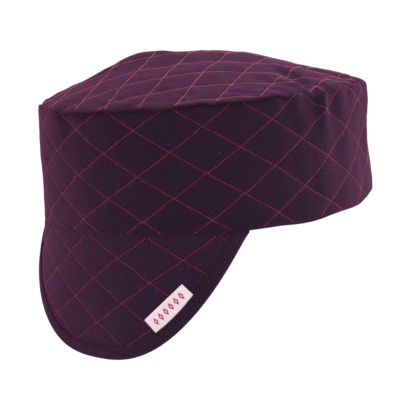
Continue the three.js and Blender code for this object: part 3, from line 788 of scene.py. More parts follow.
def stitch_sink(nodes, gap_mm, stitches_a_side):
    """How the cloth sinks and puckers at the stitch lines: depth in mm, and closeness to a line."""
    _, first, second = nodes.uv("quilt")
    depths, closeness = [], []
    for here, along in ((first, second), (second, first)):
        away = nodes.math("MULTIPLY", nodes.math("ABSOLUTE", nodes.math(
            "SUBTRACT", nodes.math("FRACT", nodes.math("ADD", here, 0.5)), 0.5)), gap_mm)
        square = nodes.math("POWER", away, 2.0)
        narrow = nodes.math("EXPONENT", nodes.math("MULTIPLY", square, SINK["narrow"]))
        wide = nodes.math("EXPONENT", nodes.math("MULTIPLY", square, SINK["wide"]))
        ripple = nodes.math("COSINE", nodes.math("MULTIPLY", along, 2 * math.pi * stitches_a_side))
        depths.append(nodes.math("ADD", nodes.math("MULTIPLY", narrow, SINK["depth"]), nodes.math(
            "MULTIPLY", nodes.math("MULTIPLY", ripple, wide), SINK["ripple"])))
        closeness.append(narrow)
    return nodes.math("ADD", *depths), nodes.math("MAXIMUM", *closeness)


def stitches_on(lattice):
    """Stitches along one side of a diamond."""
    return round(math.hypot(lattice["long"], lattice["short"]) / 2.0 / STITCH_PITCH)


print("a side of a diamond has", stitches_on(BAND_LATTICE), "stitches")

# %% [markdown]
# ## The quilted twill
# The dye is a little uneven, edges are rubbed, and lint clings to the cloth. One plain colour would
# look like plastic, so soft noises move the colour between a low and a high tone. Cotton scatters
# light at grazing angles, which the sheen does. Its weight is one number for each cloth, and the fuzz
# of the yarns is relief.

# %% Colours and noises of the twill
WORN = (0.0480, 0.0150, 0.0340)
PLUM = {"low": (0.0075, 0.0041, 0.0095), "high": (0.0290, 0.0143, 0.0320), "worn": WORN}
# The bill's plum is the band's, made lighter: painted light, for the more light that the bill takes
LIT_BILL_PLUM = {"low": (0.0105, 0.0054, 0.0124), "high": (0.0360, 0.0172, 0.0385), "worn": WORN}
TAPE_PLUM = {"low": (0.0110, 0.0051, 0.0117), "high": (0.0365, 0.0154, 0.0368),
             "worn": (0.0460, 0.0150, 0.0340)}
LINT_GREY = (0.20, 0.12, 0.18, 1.0)
STITCH_SHADE = (0.050, 0.006, 0.014, 1.0)
SHEEN_TINT = (1.0, 0.20, 0.61, 1.0)
PATCH_TONES = [(0.3, (0.86, 0.84, 0.9)), (0.75, (1.14, 1.1, 1.08))]
FLECK_TONES = [(0.30, (0.80, 0.79, 0.81)), (0.70, (1.20, 1.21, 1.19))]
LINT_SPOTS = [(0.83, (0.0, 0.0, 0.0)), (0.88, (1.0, 1.0, 1.0))]
# Each noise: scale, detail, roughness
DYE, PATCHES, FLECKS = (26.0, 3.0, 0.55), (9.0, 2.0), (1000.0, 0.0)
RUBBING, LINT = (180.0, 3.0, 0.6), (620.0, 0.0)
SWELL, FUZZ = (420.0, 2.0), (1000.0, 1.5, 0.65)
# How much each shows in the colour, and its relief in mm
SHOWS = {"dye": 0.45, "rubbing": 0.9, "lint": 0.22, "stitches": 0.7}
RELIEF = {"swell": 0.08, "weave": 0.30, "fuzz": 0.66, "calmer": 0.16}
print("the plum of the cloth goes from", PLUM["low"], "to", PLUM["high"])


# %% The twill materials
def twill_colour(nodes, colours, weave, uv, place):
    """Colour of the cloth: weave, uneven dye, patches, flecks, rubbed edges and lint."""
    colour = nodes.ramp(weave, [(0.18, colours["low"]), (0.85, colours["high"])])
    fade = nodes.math("MULTIPLY", nodes.noise(place, *DYE), SHOWS["dye"])
    colour = nodes.blend(fade, colour, (*colours["high"], 1.0))
    for tones in (nodes.ramp(nodes.noise(place, *PATCHES), PATCH_TONES),
                  nodes.ramp(nodes.noise(uv, *FLECKS), FLECK_TONES)):
        colour = nodes.blend(1.0, colour, tones, "MULTIPLY")
    rubbing = nodes.math("MULTIPLY", nodes.noise(place, *RUBBING), SHOWS["rubbing"])
    rubbed = nodes.math("MULTIPLY", nodes.attribute("rubbed"), rubbing)
    colour = nodes.blend(rubbed, colour, (*colours["worn"], 1.0))
    lint = nodes.ramp(nodes.noise(uv, *LINT), LINT_SPOTS)
    return nodes.blend(nodes.math("MULTIPLY", lint, SHOWS["lint"]), colour, LINT_GREY)


def twill_material(name, colours, sheen, lattice=None, evenness=1.0):
    nodes = Finish(name)
    uv, u, v = nodes.uv("cloth")
    place = nodes.place()
    weave = twill_height(nodes, uv, u, v, evenness)
    colour = twill_colour(nodes, colours, weave, uv, place)
    normal = nodes.bump(nodes.math("MULTIPLY", nodes.noise(place, *SWELL), RELIEF["swell"]))
    if lattice is not None:
        depth, closeness = stitch_sink(nodes, line_gap(lattice), stitches_on(lattice))
        colour = nodes.blend(nodes.math("MULTIPLY", closeness, SHOWS["stitches"]), colour, STITCH_SHADE)
        normal = nodes.bump(depth, normal)
    fuzz = nodes.math("MULTIPLY", nodes.noise(uv, *FUZZ), RELIEF["fuzz"] - RELIEF["calmer"] * evenness)
    yarns = nodes.math("ADD", nodes.math("MULTIPLY", weave, RELIEF["weave"]), fuzz)
    return nodes.shade({
        "Base Color": colour, "Normal": nodes.bump(yarns, normal),
        "Roughness": nodes.math("ADD", nodes.math("MULTIPLY", weave, -0.12), 0.92),
        "Specular IOR Level": 0.02,
        "Sheen Weight": sheen, "Sheen Roughness": 0.38, "Sheen Tint": SHEEN_TINT,
    })


band_twill = twill_material("quilted_twill_band", PLUM, 0.225, BAND_LATTICE)
bill_twill = twill_material("quilted_twill_bill", LIT_BILL_PLUM, 0.165, BILL_LATTICE)
top_twill = twill_material("quilted_twill_top", PLUM, 0.190, TOP_LATTICE, 0.15)
tape_twill = twill_material("plain_twill", TAPE_PLUM, 0.15)
for twill in (band_twill, bill_twill, top_twill, tape_twill):
    print(twill.name, "has", len(twill.node_tree.nodes), "nodes")

# %% [markdown]
# ## Thread
# The thread is a shiny two-ply twist. Its colour has a painted highlight on top of each stitch and
# painted shade at the ends, where it goes into the cloth. Twisting two strands in the mesh would cost
# too many faces. Instead the stitches carry how far along and around the thread each point is, and the
# material draws the twist and the painted highlight from that.


# %% Thread
# Turns of the twist in a stitch and round the thread, and how the tone follows the painted highlight on
# top of each stitch, the twist and noise
TWIST = {"along": 2.5, "around": 2.0, "height_mm": 0.05}
TONE = {"crown": 1.5, "twist": 0.10, "noise": 2.4, "darker": 0.55}
THREAD_NOISE = (560.0, 1.0)
THREAD_SHEEN_TINT = (1.0, 0.30, 0.42, 1.0)


def thread_material(name, dark, light, sheen, shine=0.45):
    nodes = Finish(name)
    along, around = nodes.attribute("along"), nodes.attribute("around")
    turns = nodes.math("ADD", nodes.math("MULTIPLY", along, TWIST["along"]),
                       nodes.math("MULTIPLY", around, TWIST["around"]))
    twist = nodes.math("SINE", nodes.math("MULTIPLY", turns, 2 * math.pi))
    rise = nodes.math("SINE", nodes.math("MULTIPLY", along, math.pi))
    # Painted highlight on top of each stitch, and painted shade at its ends, where it goes into the
    # cloth
    crown = nodes.math("POWER", rise, TONE["crown"])
    chance = nodes.math("ADD", nodes.math("MULTIPLY", twist, TONE["twist"]), nodes.math(
        "MULTIPLY", nodes.noise(nodes.place(), *THREAD_NOISE), TONE["noise"]))
    tone = nodes.math("MULTIPLY", crown, nodes.math("SUBTRACT", chance, TONE["darker"]))
    return nodes.shade({
        "Base Color": nodes.ramp(tone, [(0.05, dark), (0.80, light)]),
        "Normal": nodes.bump(nodes.math("MULTIPLY", twist, TWIST["height_mm"])),
        "Roughness": 0.42, "Specular IOR Level": shine,
        "Sheen Weight": sheen, "Sheen Roughness": 0.35, "Sheen Tint": THREAD_SHEEN_TINT,
    })


red_thread = thread_material("red_thread", (0.085, 0.005, 0.015), (0.39, 0.069, 0.112), 0.5)
# A lighter copy of the red thread for the top's stitches: painted light, as the top takes more light
# from above
lit_top_thread = thread_material("red_thread_top_painted_lighter", (0.110, 0.007, 0.020), (0.72, 0.150, 0.220), 0.7)
dark_thread = thread_material("plum_thread", (0.010, 0.004, 0.010), (0.030, 0.011, 0.028), 0.05, 0.08)
print("threads:", ", ".join(thread.name for thread in (red_thread, lit_top_thread, dark_thread)))

# %% [markdown]
# ## Label satin
# The label is pale woven satin. Its motif could be small pieces of its own, but on a real label it is
# woven in, so the material draws it: a row of plain red diamonds with an open middle, in the weave.


# %% Label satin
# Pitches of warp and weft in metres, and how strong they are
SATIN = {"warp_pitch": 0.00042, "weft_pitch": 0.00030, "warp": 0.35, "weft": 0.15}
SATIN_NOISE = {"scale": 130.0, "share": 0.6}
SATIN_TONES = [(0.25, (0.56, 0.40, 0.47)), (1.0, (0.84, 0.69, 0.76))]
# The row of diamonds: metres from one to the next, half the row, and the size of a diamond
MOTIF = {"step": 0.0040, "half_row": 0.0120, "height": 0.0046, "slim": 1.55, "size": 0.52, "open": 0.17,
         "colour": (0.40, 0.020, 0.050, 1.0)}


def diamond_row(nodes, u, v, weave):
    """1 on the motif, with edges as rough as the weave, and 0 elsewhere."""
    along = nodes.math("ABSOLUTE", nodes.math("SUBTRACT", nodes.math("FRACT", nodes.math(
        "DIVIDE", u, MOTIF["step"])), 0.5))
    across = nodes.math("ABSOLUTE", nodes.math("DIVIDE", v, MOTIF["height"]))
    shape = nodes.math("ADD", nodes.math("MULTIPLY", along, MOTIF["slim"]), across)
    rough_edge = nodes.math("ADD", nodes.math("MULTIPLY", weave, 0.06), MOTIF["size"])
    inside = nodes.math("LESS_THAN", shape, rough_edge)
    hollow = nodes.math("LESS_THAN", shape, MOTIF["open"])
    near = nodes.math("LESS_THAN", nodes.math("ABSOLUTE", u), MOTIF["half_row"])
    return nodes.math("MULTIPLY", nodes.math("SUBTRACT", inside, hollow), near)


def satin_material(name):
    nodes = Finish(name)
    uv, u, v = nodes.uv("cloth")
    warp, weft = nodes.waves(v, SATIN["warp_pitch"]), nodes.waves(u, SATIN["weft_pitch"])
    weave = nodes.math("ADD", nodes.math("MULTIPLY", warp, SATIN["warp"]),
                       nodes.math("MULTIPLY", weft, SATIN["weft"]))
    cloudy = nodes.math("MULTIPLY", nodes.noise(uv, SATIN_NOISE["scale"]), SATIN_NOISE["share"])
    ground = nodes.ramp(nodes.math("ADD", nodes.math("ADD", weave, 0.5), cloudy), SATIN_TONES)
    motif = diamond_row(nodes, u, v, weave)
    height = nodes.math("ADD", weave, nodes.math("MULTIPLY", motif, 0.8))
    return nodes.shade({
        "Base Color": nodes.blend(motif, ground, MOTIF["colour"]),
        "Normal": nodes.bump(nodes.math("MULTIPLY", height, 0.06)),
        "Roughness": 0.42, "Anisotropic": 0.4, "Sheen Weight": 0.15,
    })


label_satin = satin_material("label_satin")
print("the label's weave:", len(label_satin.node_tree.nodes), "nodes")

# %% [markdown]
# ## Making a mesh from a grid
# A formula gives rows and columns of points. A modifier could thicken a thin sheet of them, but rows
# that run down the inside as well give a closed piece at once, with a fold where the cloth folds.
# Neighbouring points are joined by four-sided faces. Where a row runs all the way round, its last
# point is joined to its first, and a UV map keeps its own extra column there, so the pattern has no
# smeared strip.


# %% Grid meshes
def grid_faces(rows, columns, rows_close, columns_close):
    """Corners of the faces as point numbers, and as places in the UV grids."""
    row, column = np.meshgrid(np.arange(rows if rows_close else rows - 1),
                              np.arange(columns if columns_close else columns - 1), indexing="ij")
    corners = [(row, column), (row, column + 1), (row + 1, column + 1), (row + 1, column)]
    faces = np.stack([(r % rows) * columns + c % columns for r, c in corners], axis=-1).reshape(-1, 4)
    places = [np.stack([r, c], axis=-1) for r, c in corners]
    return faces, np.stack(places, axis=-2).reshape(-1, 4, 2)


def grid_mesh(name, points, maps, material, rows_close=False, columns_close=False, caps="",
              rubbed=None):
    """maps holds UV grids, one row and one column wider where the grid closes. caps is "poles" for a
    point at the first and last row, "ends" for a flat cap at the first and last column."""
    rows, columns = points.shape[:2]
    faces, places = grid_faces(rows, columns, rows_close, columns_close)
    vertices = points.reshape(-1, 3) * MM
    loops = {key: grid[places[..., 0], places[..., 1]].reshape(-1, 2) for key, grid in maps.items()}
    polygons = [tuple(face) for face in faces.tolist()]
    if caps == "poles":
        for row, order in ((0, (1, 0)), (rows - 1, (0, 1))):
            centre = len(vertices)
            vertices = np.vstack([vertices, vertices[row * columns:(row + 1) * columns].mean(0)])
            for column in range(columns):
                pair = [row * columns + column, row * columns + (column + 1) % columns]
                polygons.append((pair[order[0]], pair[order[1]], centre))
            for key, grid in maps.items():
                ring = grid[row]
                middle = ring[:-1].mean(0)
                fan = [[ring[i + order[0]], ring[i + order[1]], middle] for i in range(columns)]
                loops[key] = np.vstack([loops[key], np.array(fan).reshape(-1, 2)])
    if caps == "ends":
        for column, order in ((0, 1), (columns - 1, -1)):
            ring = np.arange(rows)[::order]
            polygons.append(tuple(int(i) * columns + column for i in ring))
            for key, grid in maps.items():
                loops[key] = np.vstack([loops[key], grid[ring, column]])
    mesh = bpy.data.meshes.new(name)
    mesh.from_pydata(vertices.tolist(), [], polygons)
    for key, values in loops.items():
        layer = mesh.uv_layers.new(name=key)
        layer.data.foreach_set("uv", values.astype(np.float32).ravel())
    wear = np.zeros(len(mesh.vertices), dtype=np.float32)
    if rubbed is not None:
        wear[:rows * columns] = np.broadcast_to(rubbed, (rows, columns)).ravel()
    mesh.attributes.new("rubbed", "FLOAT", "POINT").data.foreach_set("value", wear)
    mesh.polygons.foreach_set("use_smooth", np.ones(len(mesh.polygons), dtype=bool))
    mesh.materials.append(material)
    mesh.update()
    piece = bpy.data.objects.new(name, mesh)
    bpy.context.scene.collection.objects.link(piece)
    triangles = sum(len(polygon) - 2 for polygon in polygons)
    print(name, triangles, "triangles")
    return piece


def line_map(lattice, u, v):
    return np.stack(to_lines(lattice, u, v), axis=-1)


def closed(grid):
    """A UV grid with its first row again at the end."""
    return np.vstack([grid, grid[:1]])


print("a grid of 4 by 5 points has", len(grid_faces(4, 5, False, False)[0]), "faces, and",
      len(grid_faces(4, 5, True, True)[0]), "when it closes both ways")

# %% [markdown]
# ## Sewing the band
# The real band is two layers with a turned-in edge at the rim. The rows start at the rim, climb the
# outer face, turn into the seam, and come back down the inside. The rim is a rounded fold, so the
# last rows run round it and meet the first ones. A hard corner there would look like card.

# %% The band
BAND_GRID = {"columns": 640, "outer": 76, "inner": 30, "fold": 8}
FOLD = WALL / 2.0
# 1 makes the fold of the rim round, less makes it squarer
FOLD_SQUARE = 0.5
# The inside's weave is moved by this much, so that it isn't the outside's again
INSIDE_SHIFT = 0.31
# Wear shows on the shoulder, and on the rim beside the bill from the first angle to the second
RIM_WEAR = (54.0, 66.0)


def make_band():
    columns = BAND_GRID["columns"]
    u = np.arange(columns + 1) * ROUND / columns
    top = band_end(u)
    outer = np.linspace(0.0, 1.0, BAND_GRID["outer"])[:, None]
    inner = np.linspace(1.0, 0.0, BAND_GRID["inner"])[:, None]
    fold = np.linspace(np.pi, 0.0, BAND_GRID["fold"] + 2)[1:-1, None]
    pressed = np.sign(np.cos(fold)) * np.abs(np.cos(fold)) ** FOLD_SQUARE
    s = np.concatenate([FOLD + (top - FOLD) * outer, FOLD + (top - FOLD) * inner,
                        FOLD * (1.0 - np.sin(fold) ** FOLD_SQUARE) + 0.0 * top])
    depth = np.concatenate([0.0 * outer, WALL + 0.0 * inner, FOLD - FOLD * pressed]) + 0.0 * top
    lengths = np.broadcast_to(u, s.shape)
    points = band_cloth(lengths[:, :-1], s[:, :-1], depth[:, :-1])
    inside = np.concatenate([0.0 * outer, 1.0 + 0.0 * inner, 0.5 + 0.0 * fold]) + 0.0 * top
    cloth = np.stack([lengths, s + inside * INSIDE_SHIFT], axis=-1) * MM
    quilt = line_map(BAND_LATTICE, lengths, s)
    beside_bill = smooth(*RIM_WEAR, np.abs(np.degrees(half_turn(angle_at(u)))))
    rounded = 1.0 - stretch(OVERHANG, angle_at(u))
    wear = bell(s - top + 4.0, 5.0) * 0.55 * rounded + bell(s, 2.6) * 0.6 * beside_bill
    maps = {"cloth": closed(cloth), "quilt": closed(quilt)}
    return grid_mesh("band_cloth", points, maps, band_twill, rows_close=True, columns_close=True,
                     rubbed=(wear * (1.0 - 0.7 * inside))[:, :-1])


band = make_band()

# %% [markdown]
# ## Sewing the top panel
# The real panel is one oval piece. Rings of points run from the middle of the underside out to the
# edge, and back over the top to the middle again. Both middles close in one point. A square grid cut
# to an oval would leave a stepped edge at the seam.

# %% The top panel
TOP_GRID = {"columns": 600, "outer": 80, "inner": 26, "smallest": 0.015}
# The edge goes this far past the seam, in mm, so that no light shows through it
SEAM_OVERLAP = 0.08


def make_top():
    turn = np.linspace(0.0, FULL_TURN, TOP_GRID["columns"] + 1)
    outer = np.linspace(1.0, TOP_GRID["smallest"], TOP_GRID["outer"])
    inner = np.linspace(TOP_GRID["smallest"], 1.0, TOP_GRID["inner"])
    part = np.concatenate([inner, outer])[:, None]
    depth = np.concatenate([WALL + 0.0 * inner, 0.0 * outer])[:, None] + 0.0 * turn
    depth[len(inner) - 1] -= (WALL - LIP["thick"]) * lip(turn)
    half_width, half_length = panel_half(turn)
    x = SEAM["shift_x"] + (half_width + SEAM_OVERLAP) * part * np.sin(turn)
    y = SEAM["shift_y"] - (half_length + SEAM_OVERLAP) * part * np.cos(turn)
    points = top_cloth(x[:, :-1], y[:, :-1], depth[:, :-1])
    maps = {"cloth": np.stack([x, y], axis=-1) * MM, "quilt": line_map(TOP_LATTICE, x, y)}
    wear = bell(from_top_edge(x, y) - 3.5, 4.0) * 0.5 * (depth < 1.0)
    return grid_mesh("top_cloth", points, maps, top_twill, columns_close=True, caps="poles",
                     rubbed=wear[:, :-1])


top = make_top()

# %% [markdown]
# ## Sewing the bill
# The real bill is two layers without a stiffener. Its rows run down the inside, round the free edge,
# which the binding hides, and up the outside. Its two ends are closed with flat caps. The columns
# stand closer together towards the ends, where the edge curves most.

# %% The bill
BILL_GRID = {"columns": 250, "outer": 84, "inner": 30, "inside_shift": 0.2}
# The cloth starts this far above the rim and ends this far inside the tape's fold, in mm
BILL_TOP = 0.5
EDGE_INSET = 1.3
CROWDING = 1.35


def where_drop(drop):
    """Length round the rim at which the bill hangs this far."""
    lengths = np.linspace(0.0, BILL_END, 4000)
    return float(np.interp(-drop, -bill_drop(lengths), lengths))


TAPE_END = where_drop(TAPE["end_drop"])


def edge_lengths(count):
    """Places along the free edge, closer together towards the ends."""
    part = np.linspace(-1.0, 1.0, count)
    return TAPE_END * np.sin(part * CROWDING) / math.sin(CROWDING)


def make_bill():
    u = edge_lengths(BILL_GRID["columns"])
    bottom = -np.maximum(0.6, bill_drop(u) - EDGE_INSET / edge_inward(u)[1])
    inner = np.linspace(0.0, 1.0, BILL_GRID["inner"])[:, None]
    outer = np.linspace(1.0, 0.0, BILL_GRID["outer"])[:, None]
    v = np.concatenate([BILL_TOP + (bottom - BILL_TOP) * inner, BILL_TOP + (bottom - BILL_TOP) * outer])
    lift = np.concatenate([0.0 * inner - BILL["wall"], 0.0 * outer]) + 0.0 * u
    lengths = np.broadcast_to(u, v.shape)
    points = bill_cloth(lengths, v, lift)
    shift = np.where(lift < 0.0, BILL_GRID["inside_shift"], 0.0)
    cloth = np.stack([lengths, v + shift], axis=-1) * MM
    quilt = line_map(BILL_LATTICE, lengths, v)
    maps = {"cloth": closed(cloth), "quilt": closed(quilt)}
    return grid_mesh("bill_cloth", points, maps, bill_twill, rows_close=True, caps="ends")


bill = make_bill()

# %% [markdown]
# ## The binding
# A plain twill tape is folded round the bill's free edge and sewn down. A curve with a bevel could
# sweep it, but its section has to narrow towards the ends of the bill, so the closed section is laid
# along the edge point by point. The tape ripples slightly where it is eased round the curve.

# %% The binding tape
TAPE_STATIONS = 420
TAPE_RIPPLE = {"size": 7.0, "seed": 31, "lift": 0.13, "edge": 0.16}
# Length round the tape's closed section, in metres
TAPE_ROUND = 0.022
# The section: share of the tape's width or mm from the fold, and mm off the bill's face
TAPE_FACE = [(1.0, 0.10), (1.005, 0.42), (0.975, 0.72), (0.93, 0.86), (0.86, 0.78), (0.80, 0.80),
             (0.70, 0.96), (0.55, 1.04), (0.38, 1.06), (0.25, 1.02)]
TAPE_FOLD = [(1.15, 0.88), (0.62, 0.58), (0.25, 0.05), (0.06, -0.55), (0.0, -1.2)]
TAPE_INSIDE = [(1.0, 0.08), (0.5, 0.08), (0.25, 0.06), (0.14, -0.35), (0.11, -1.2)]


def tape_section(reach):
    """Points round the tape: how far in from the fold, and how far off the bill's outer face."""
    face = [(part * reach, lift) for part, lift in TAPE_FACE] + TAPE_FOLD
    inside = [(part * reach, lift) for part, lift in TAPE_INSIDE]
    other = [(away, -BILL["wall"] - lift) for away, lift in face[-2::-1]]
    back = [(away, -BILL["wall"] - lift) for away, lift in inside[:-1]]
    return np.array(face + other + back + inside[:0:-1])


def edge_distance(u):
    """Length along the free edge on the flat cloth."""
    steps = np.hypot(np.diff(u), np.diff(bill_drop(u)))
    return np.concatenate([[0.0], np.cumsum(steps)])


def tape_place(u, reach, lift):
    """A point this far in from the fold, and this far off the bill's outer face."""
    across, up = edge_inward(u)
    v = np.minimum(-bill_drop(u) + up * reach, -TAPE["below_seam"])
    return bill_face(u + across * reach, v, lift)


def tape_width(u):
    """The tape's width, less towards the ends, where the bill has no room for it."""
    room = (bill_drop(u) - TAPE["below_seam"]) / edge_inward(u)[1]
    return np.clip(room, TAPE["least"], TAPE["width"])


def make_tape():
    u = edge_lengths(TAPE_STATIONS)
    run = edge_distance(u)
    sections = np.stack([tape_section(width) for width in tape_width(u)], axis=1)
    reach, lift = sections[..., 0], sections[..., 1]
    edge = np.stack([run, 0.0 * run, 0.0 * run], axis=-1)
    ripple = unevenness(edge, TAPE_RIPPLE["size"], TAPE_RIPPLE["seed"])
    outside = np.where(lift > 0.3, 1.0, 0.0)
    lift = lift + TAPE_RIPPLE["lift"] * ripple * outside * (reach / TAPE["width"])
    reach = reach + TAPE_RIPPLE["edge"] * ripple * (reach > 5.0)
    points = tape_place(np.broadcast_to(u, reach.shape), reach, lift)
    steps = np.diff(sections[:, TAPE_STATIONS // 2], axis=0)
    round_section = np.concatenate([[0.0], np.cumsum(np.hypot(*steps.T))])
    cloth = np.stack(np.broadcast_arrays(run, round_section[:, None]), axis=-1) * MM
    last = cloth[:1] + (0.0, TAPE_ROUND)
    wear = np.where(reach < 1.3, 0.7, 0.1)
    return grid_mesh("binding_tape", points, {"cloth": np.vstack([cloth, last])}, tape_twill,
                     rows_close=True, caps="ends", rubbed=wear)


tape = make_tape()

# %% [markdown]
# ## The label
# A small woven label lies beside the binding. A flat rectangle would cut through the curved cloth, so
# the label is a grid laid on the bill's own formula, with a rounded edge where it is turned in. It has
# a row of plain diamonds in the thread's red.

# %% The label
LABEL_GRID = {"columns": 60, "rows": 24}
# Heights of its two faces above the smooth bill, and how far and how deep its edge rounds off, in mm
LABEL_HEIGHT = {"face": 0.72, "back": 0.12, "swell": 0.14, "edge": 0.6, "rounding": 0.25}


def label_place(along, across):
    """Flat place on the bill, and on the label itself. along and across run from 0 to 1."""
    def lower(u):
        aside, up = edge_inward(u)
        return np.stack([u + aside * LABEL["inset"], -bill_drop(u) + up * LABEL["inset"]], axis=-1)
    start, end = lower(np.array(LABEL["from"])), lower(np.array(LABEL["to"]))
    chord = (end - start) / np.linalg.norm(end - start)
    rise = np.array([-chord[1], chord[0]])
    bottom = lower(LABEL["from"] + (LABEL["to"] - LABEL["from"]) * along)
    part = np.asarray(along)[..., None]
    width = LABEL["start_width"] + (LABEL["end_width"] - LABEL["start_width"]) * part
    edge = start + (end - start) * part + rise * width
    flat = bottom + (edge - bottom) * np.asarray(across)[..., None]
    middle = (start + end + rise * LABEL["end_width"]) / 2.0
    local = np.stack([(flat - middle) @ chord, (flat - middle) @ rise], axis=-1)
    return flat[..., 0], flat[..., 1], local


def make_label():
    along = np.linspace(0.0, 1.0, LABEL_GRID["columns"])
    down = np.linspace(1.0, 0.0, LABEL_GRID["rows"])[:, None]
    across = np.concatenate([down, down[::-1]]) + 0.0 * along
    skin = np.concatenate([0.0 * down, 1.0 + 0.0 * down]) + 0.0 * along
    u, v, local = label_place(np.broadcast_to(along, across.shape), across)
    edge = np.minimum(np.minimum(across, 1.0 - across) * LABEL["end_width"],
                      np.minimum(along, 1.0 - along) * (LABEL["to"] - LABEL["from"]))
    swell = unevenness(np.stack([u, v, 0.0 * u], axis=-1), 9.0, 41)
    face = LABEL_HEIGHT["face"] + LABEL_HEIGHT["swell"] * swell
    face = face - LABEL_HEIGHT["rounding"] * close_to(edge, LABEL_HEIGHT["edge"])
    points = bill_face(u, v, np.where(skin > 0.5, face, LABEL_HEIGHT["back"]))
    maps = {"cloth": closed(local) * MM}
    return grid_mesh("woven_label", points, maps, label_satin, rows_close=True, caps="ends")


label = make_label()

# %% [markdown]
# ## One stitch
# A sewn line is one short stitch after another, and each is a small arc of thread that comes up out of
# the cloth and goes down again. A painted dash would have no height and no shadow. Geometry Nodes make
# one arc from three points, thinner where it enters the cloth, and remember how far along and around
# the thread each point is.


# %% The nodes of one stitch
ARC_STEPS = 3
# Parts of the stitch height: how deep the ends go, and how high the middle point pulls the arc
ARC = {"ends": -0.9, "middle": 1.5, "slimmer": 0.55}


def remember(nodes, curve, name):
    """Stores how far along a curve each point is."""
    factor = nodes.add("GeometryNodeSplineParameter").outputs["Factor"]
    return nodes.add("GeometryNodeStoreNamedAttribute", {
        "Geometry": curve, "Name": name, "Value": factor}, data_type="FLOAT", domain="POINT").outputs[0]


def one_stitch(nodes, given):
    half = nodes.math("MULTIPLY", given["Stitch length"], 0.5)
    sunk = nodes.math("MULTIPLY", given["Stitch height"], ARC["ends"])
    high = nodes.math("MULTIPLY", given["Stitch height"], ARC["middle"])
    arc = nodes.add("GeometryNodeCurveQuadraticBezier", {
        "Resolution": ARC_STEPS, "Start": nodes.combine(nodes.math("MULTIPLY", half, -1.0), 0.0, sunk),
        "Middle": nodes.combine(0.0, 0.0, high), "End": nodes.combine(half, 0.0, sunk)})
    factor = nodes.add("GeometryNodeSplineParameter").outputs["Factor"]
    centred = nodes.math("SUBTRACT", nodes.math("MULTIPLY", factor, 2.0), 1.0)
    from_middle = nodes.math("ABSOLUTE", centred)
    slimmer = nodes.math("MULTIPLY", nodes.math("POWER", from_middle, 3.0), ARC["slimmer"])
    slim = nodes.add("GeometryNodeSetCurveRadius", {
        "Curve": arc.outputs[0], "Radius": nodes.math("SUBTRACT", 1.0, slimmer)})
    ring = nodes.add("GeometryNodeCurvePrimitiveCircle", {
        "Resolution": given["Sides"], "Radius": nodes.math("MULTIPLY", given["Thread width"], 0.5)})
    return nodes.add("GeometryNodeCurveToMesh", {
        "Curve": remember(nodes, slim.outputs[0], "along"), "Fill Caps": True,
        "Profile Curve": remember(nodes, ring.outputs[0], "around")}).outputs[0]


print("a stitch has", ARC_STEPS + 1, "rings of thread")

# %% [markdown]
# ## A row of stitches
# Placing thousands of stitches by hand or in a loop would be slow to change. The tree takes a line,
# walks along it, sets one stitch at every pitch, turns it along the line and stands it on the cloth.
# No two stitches of a machine are quite alike, so each is turned and scaled a little at random, with a
# fixed seed. The instances are made real at the end, because an export drops them.

# %% The stitching tree
STITCH_INPUTS = [("Lines", "Geometry"), ("Pitch", "Float"), ("Stitch length", "Float"),
                 ("Thread width", "Float"), ("Stitch height", "Float"), ("Sides", "Int"),
                 ("Seed", "Int"), ("Thread", "Material")]
# Each stitch is turned and scaled by something between these
TURN_LEAST, TURN_MOST = (-0.25, -0.05, -0.13), (0.25, 0.05, 0.13)
SCALE_LEAST, SCALE_MOST = (0.88, 0.9, 0.8), (1.06, 1.1, 1.15)


def random_vector(nodes, low, high, seed, extra):
    """A random vector between low and high for each stitch."""
    inputs = {0: low, 1: high, "Seed": nodes.math("ADD", seed, extra)}
    return nodes.add("FunctionNodeRandomValue", inputs, data_type="FLOAT_VECTOR").outputs[0]


def stitching_tree():
    tree = bpy.data.node_groups.new("stitching", "GeometryNodeTree")
    for name, kind in STITCH_INPUTS:
        tree.interface.new_socket(name, in_out="INPUT", socket_type="NodeSocket" + kind)
    tree.interface.new_socket("Stitches", in_out="OUTPUT", socket_type="NodeSocketGeometry")
    nodes = Nodes(tree)
    given = nodes.add("NodeGroupInput").outputs
    curves = nodes.add("GeometryNodeMeshToCurve", {"Mesh": given["Lines"]}).outputs[0]
    walk = nodes.add("GeometryNodeResampleCurve", {"Curve": curves, "Length": given["Pitch"]},
                     mode="LENGTH")
    facing = nodes.add("GeometryNodeInputNamedAttribute", {"Name": "cloth_normal"},
                       data_type="FLOAT_VECTOR")
    tangent = nodes.add("GeometryNodeInputTangent").outputs[0]
    lie = nodes.add("FunctionNodeAlignRotationToVector", {"Vector": tangent}, axis="X")
    stand = nodes.add("FunctionNodeAlignRotationToVector", {
        "Rotation": lie.outputs[0], "Vector": facing.outputs[0]}, axis="Z", pivot_axis="X")
    tilt = random_vector(nodes, TURN_LEAST, TURN_MOST, given["Seed"], 1)
    turn = nodes.add("FunctionNodeRotateRotation", {"Rotation": stand.outputs[0], "Rotate By": tilt},
                     rotation_space="LOCAL")
    place = nodes.add("GeometryNodeInstanceOnPoints", {
        "Points": walk.outputs[0], "Instance": one_stitch(nodes, given), "Rotation": turn.outputs[0],
        "Scale": random_vector(nodes, SCALE_LEAST, SCALE_MOST, given["Seed"], 7)})
    real = nodes.add("GeometryNodeRealizeInstances", {0: place.outputs[0]})
    soft = nodes.add("GeometryNodeSetShadeSmooth", {"Geometry": real.outputs[0]})
    coloured = nodes.add("GeometryNodeSetMaterial", {
        "Geometry": soft.outputs[0], "Material": given["Thread"]})
    nodes.add("NodeGroupOutput", {0: coloured.outputs[0]})
    return tree


STITCHING = stitching_tree()
print("the stitching tree has", len(STITCHING.nodes), "nodes")

# %% [markdown]
# ## Sewing a piece
# The lines are laid on the cloth as thin rows of points that remember which way the cloth faces. The
# tree runs on them as a modifier, and its result is kept as a plain mesh.

# %% Sewing along lines
# Sizes of a stitch in mm, and the sides of its thread
STITCH = {"length": 1.2, "width": 0.28, "height": 0.16, "pitch": STITCH_PITCH, "sides": 4}


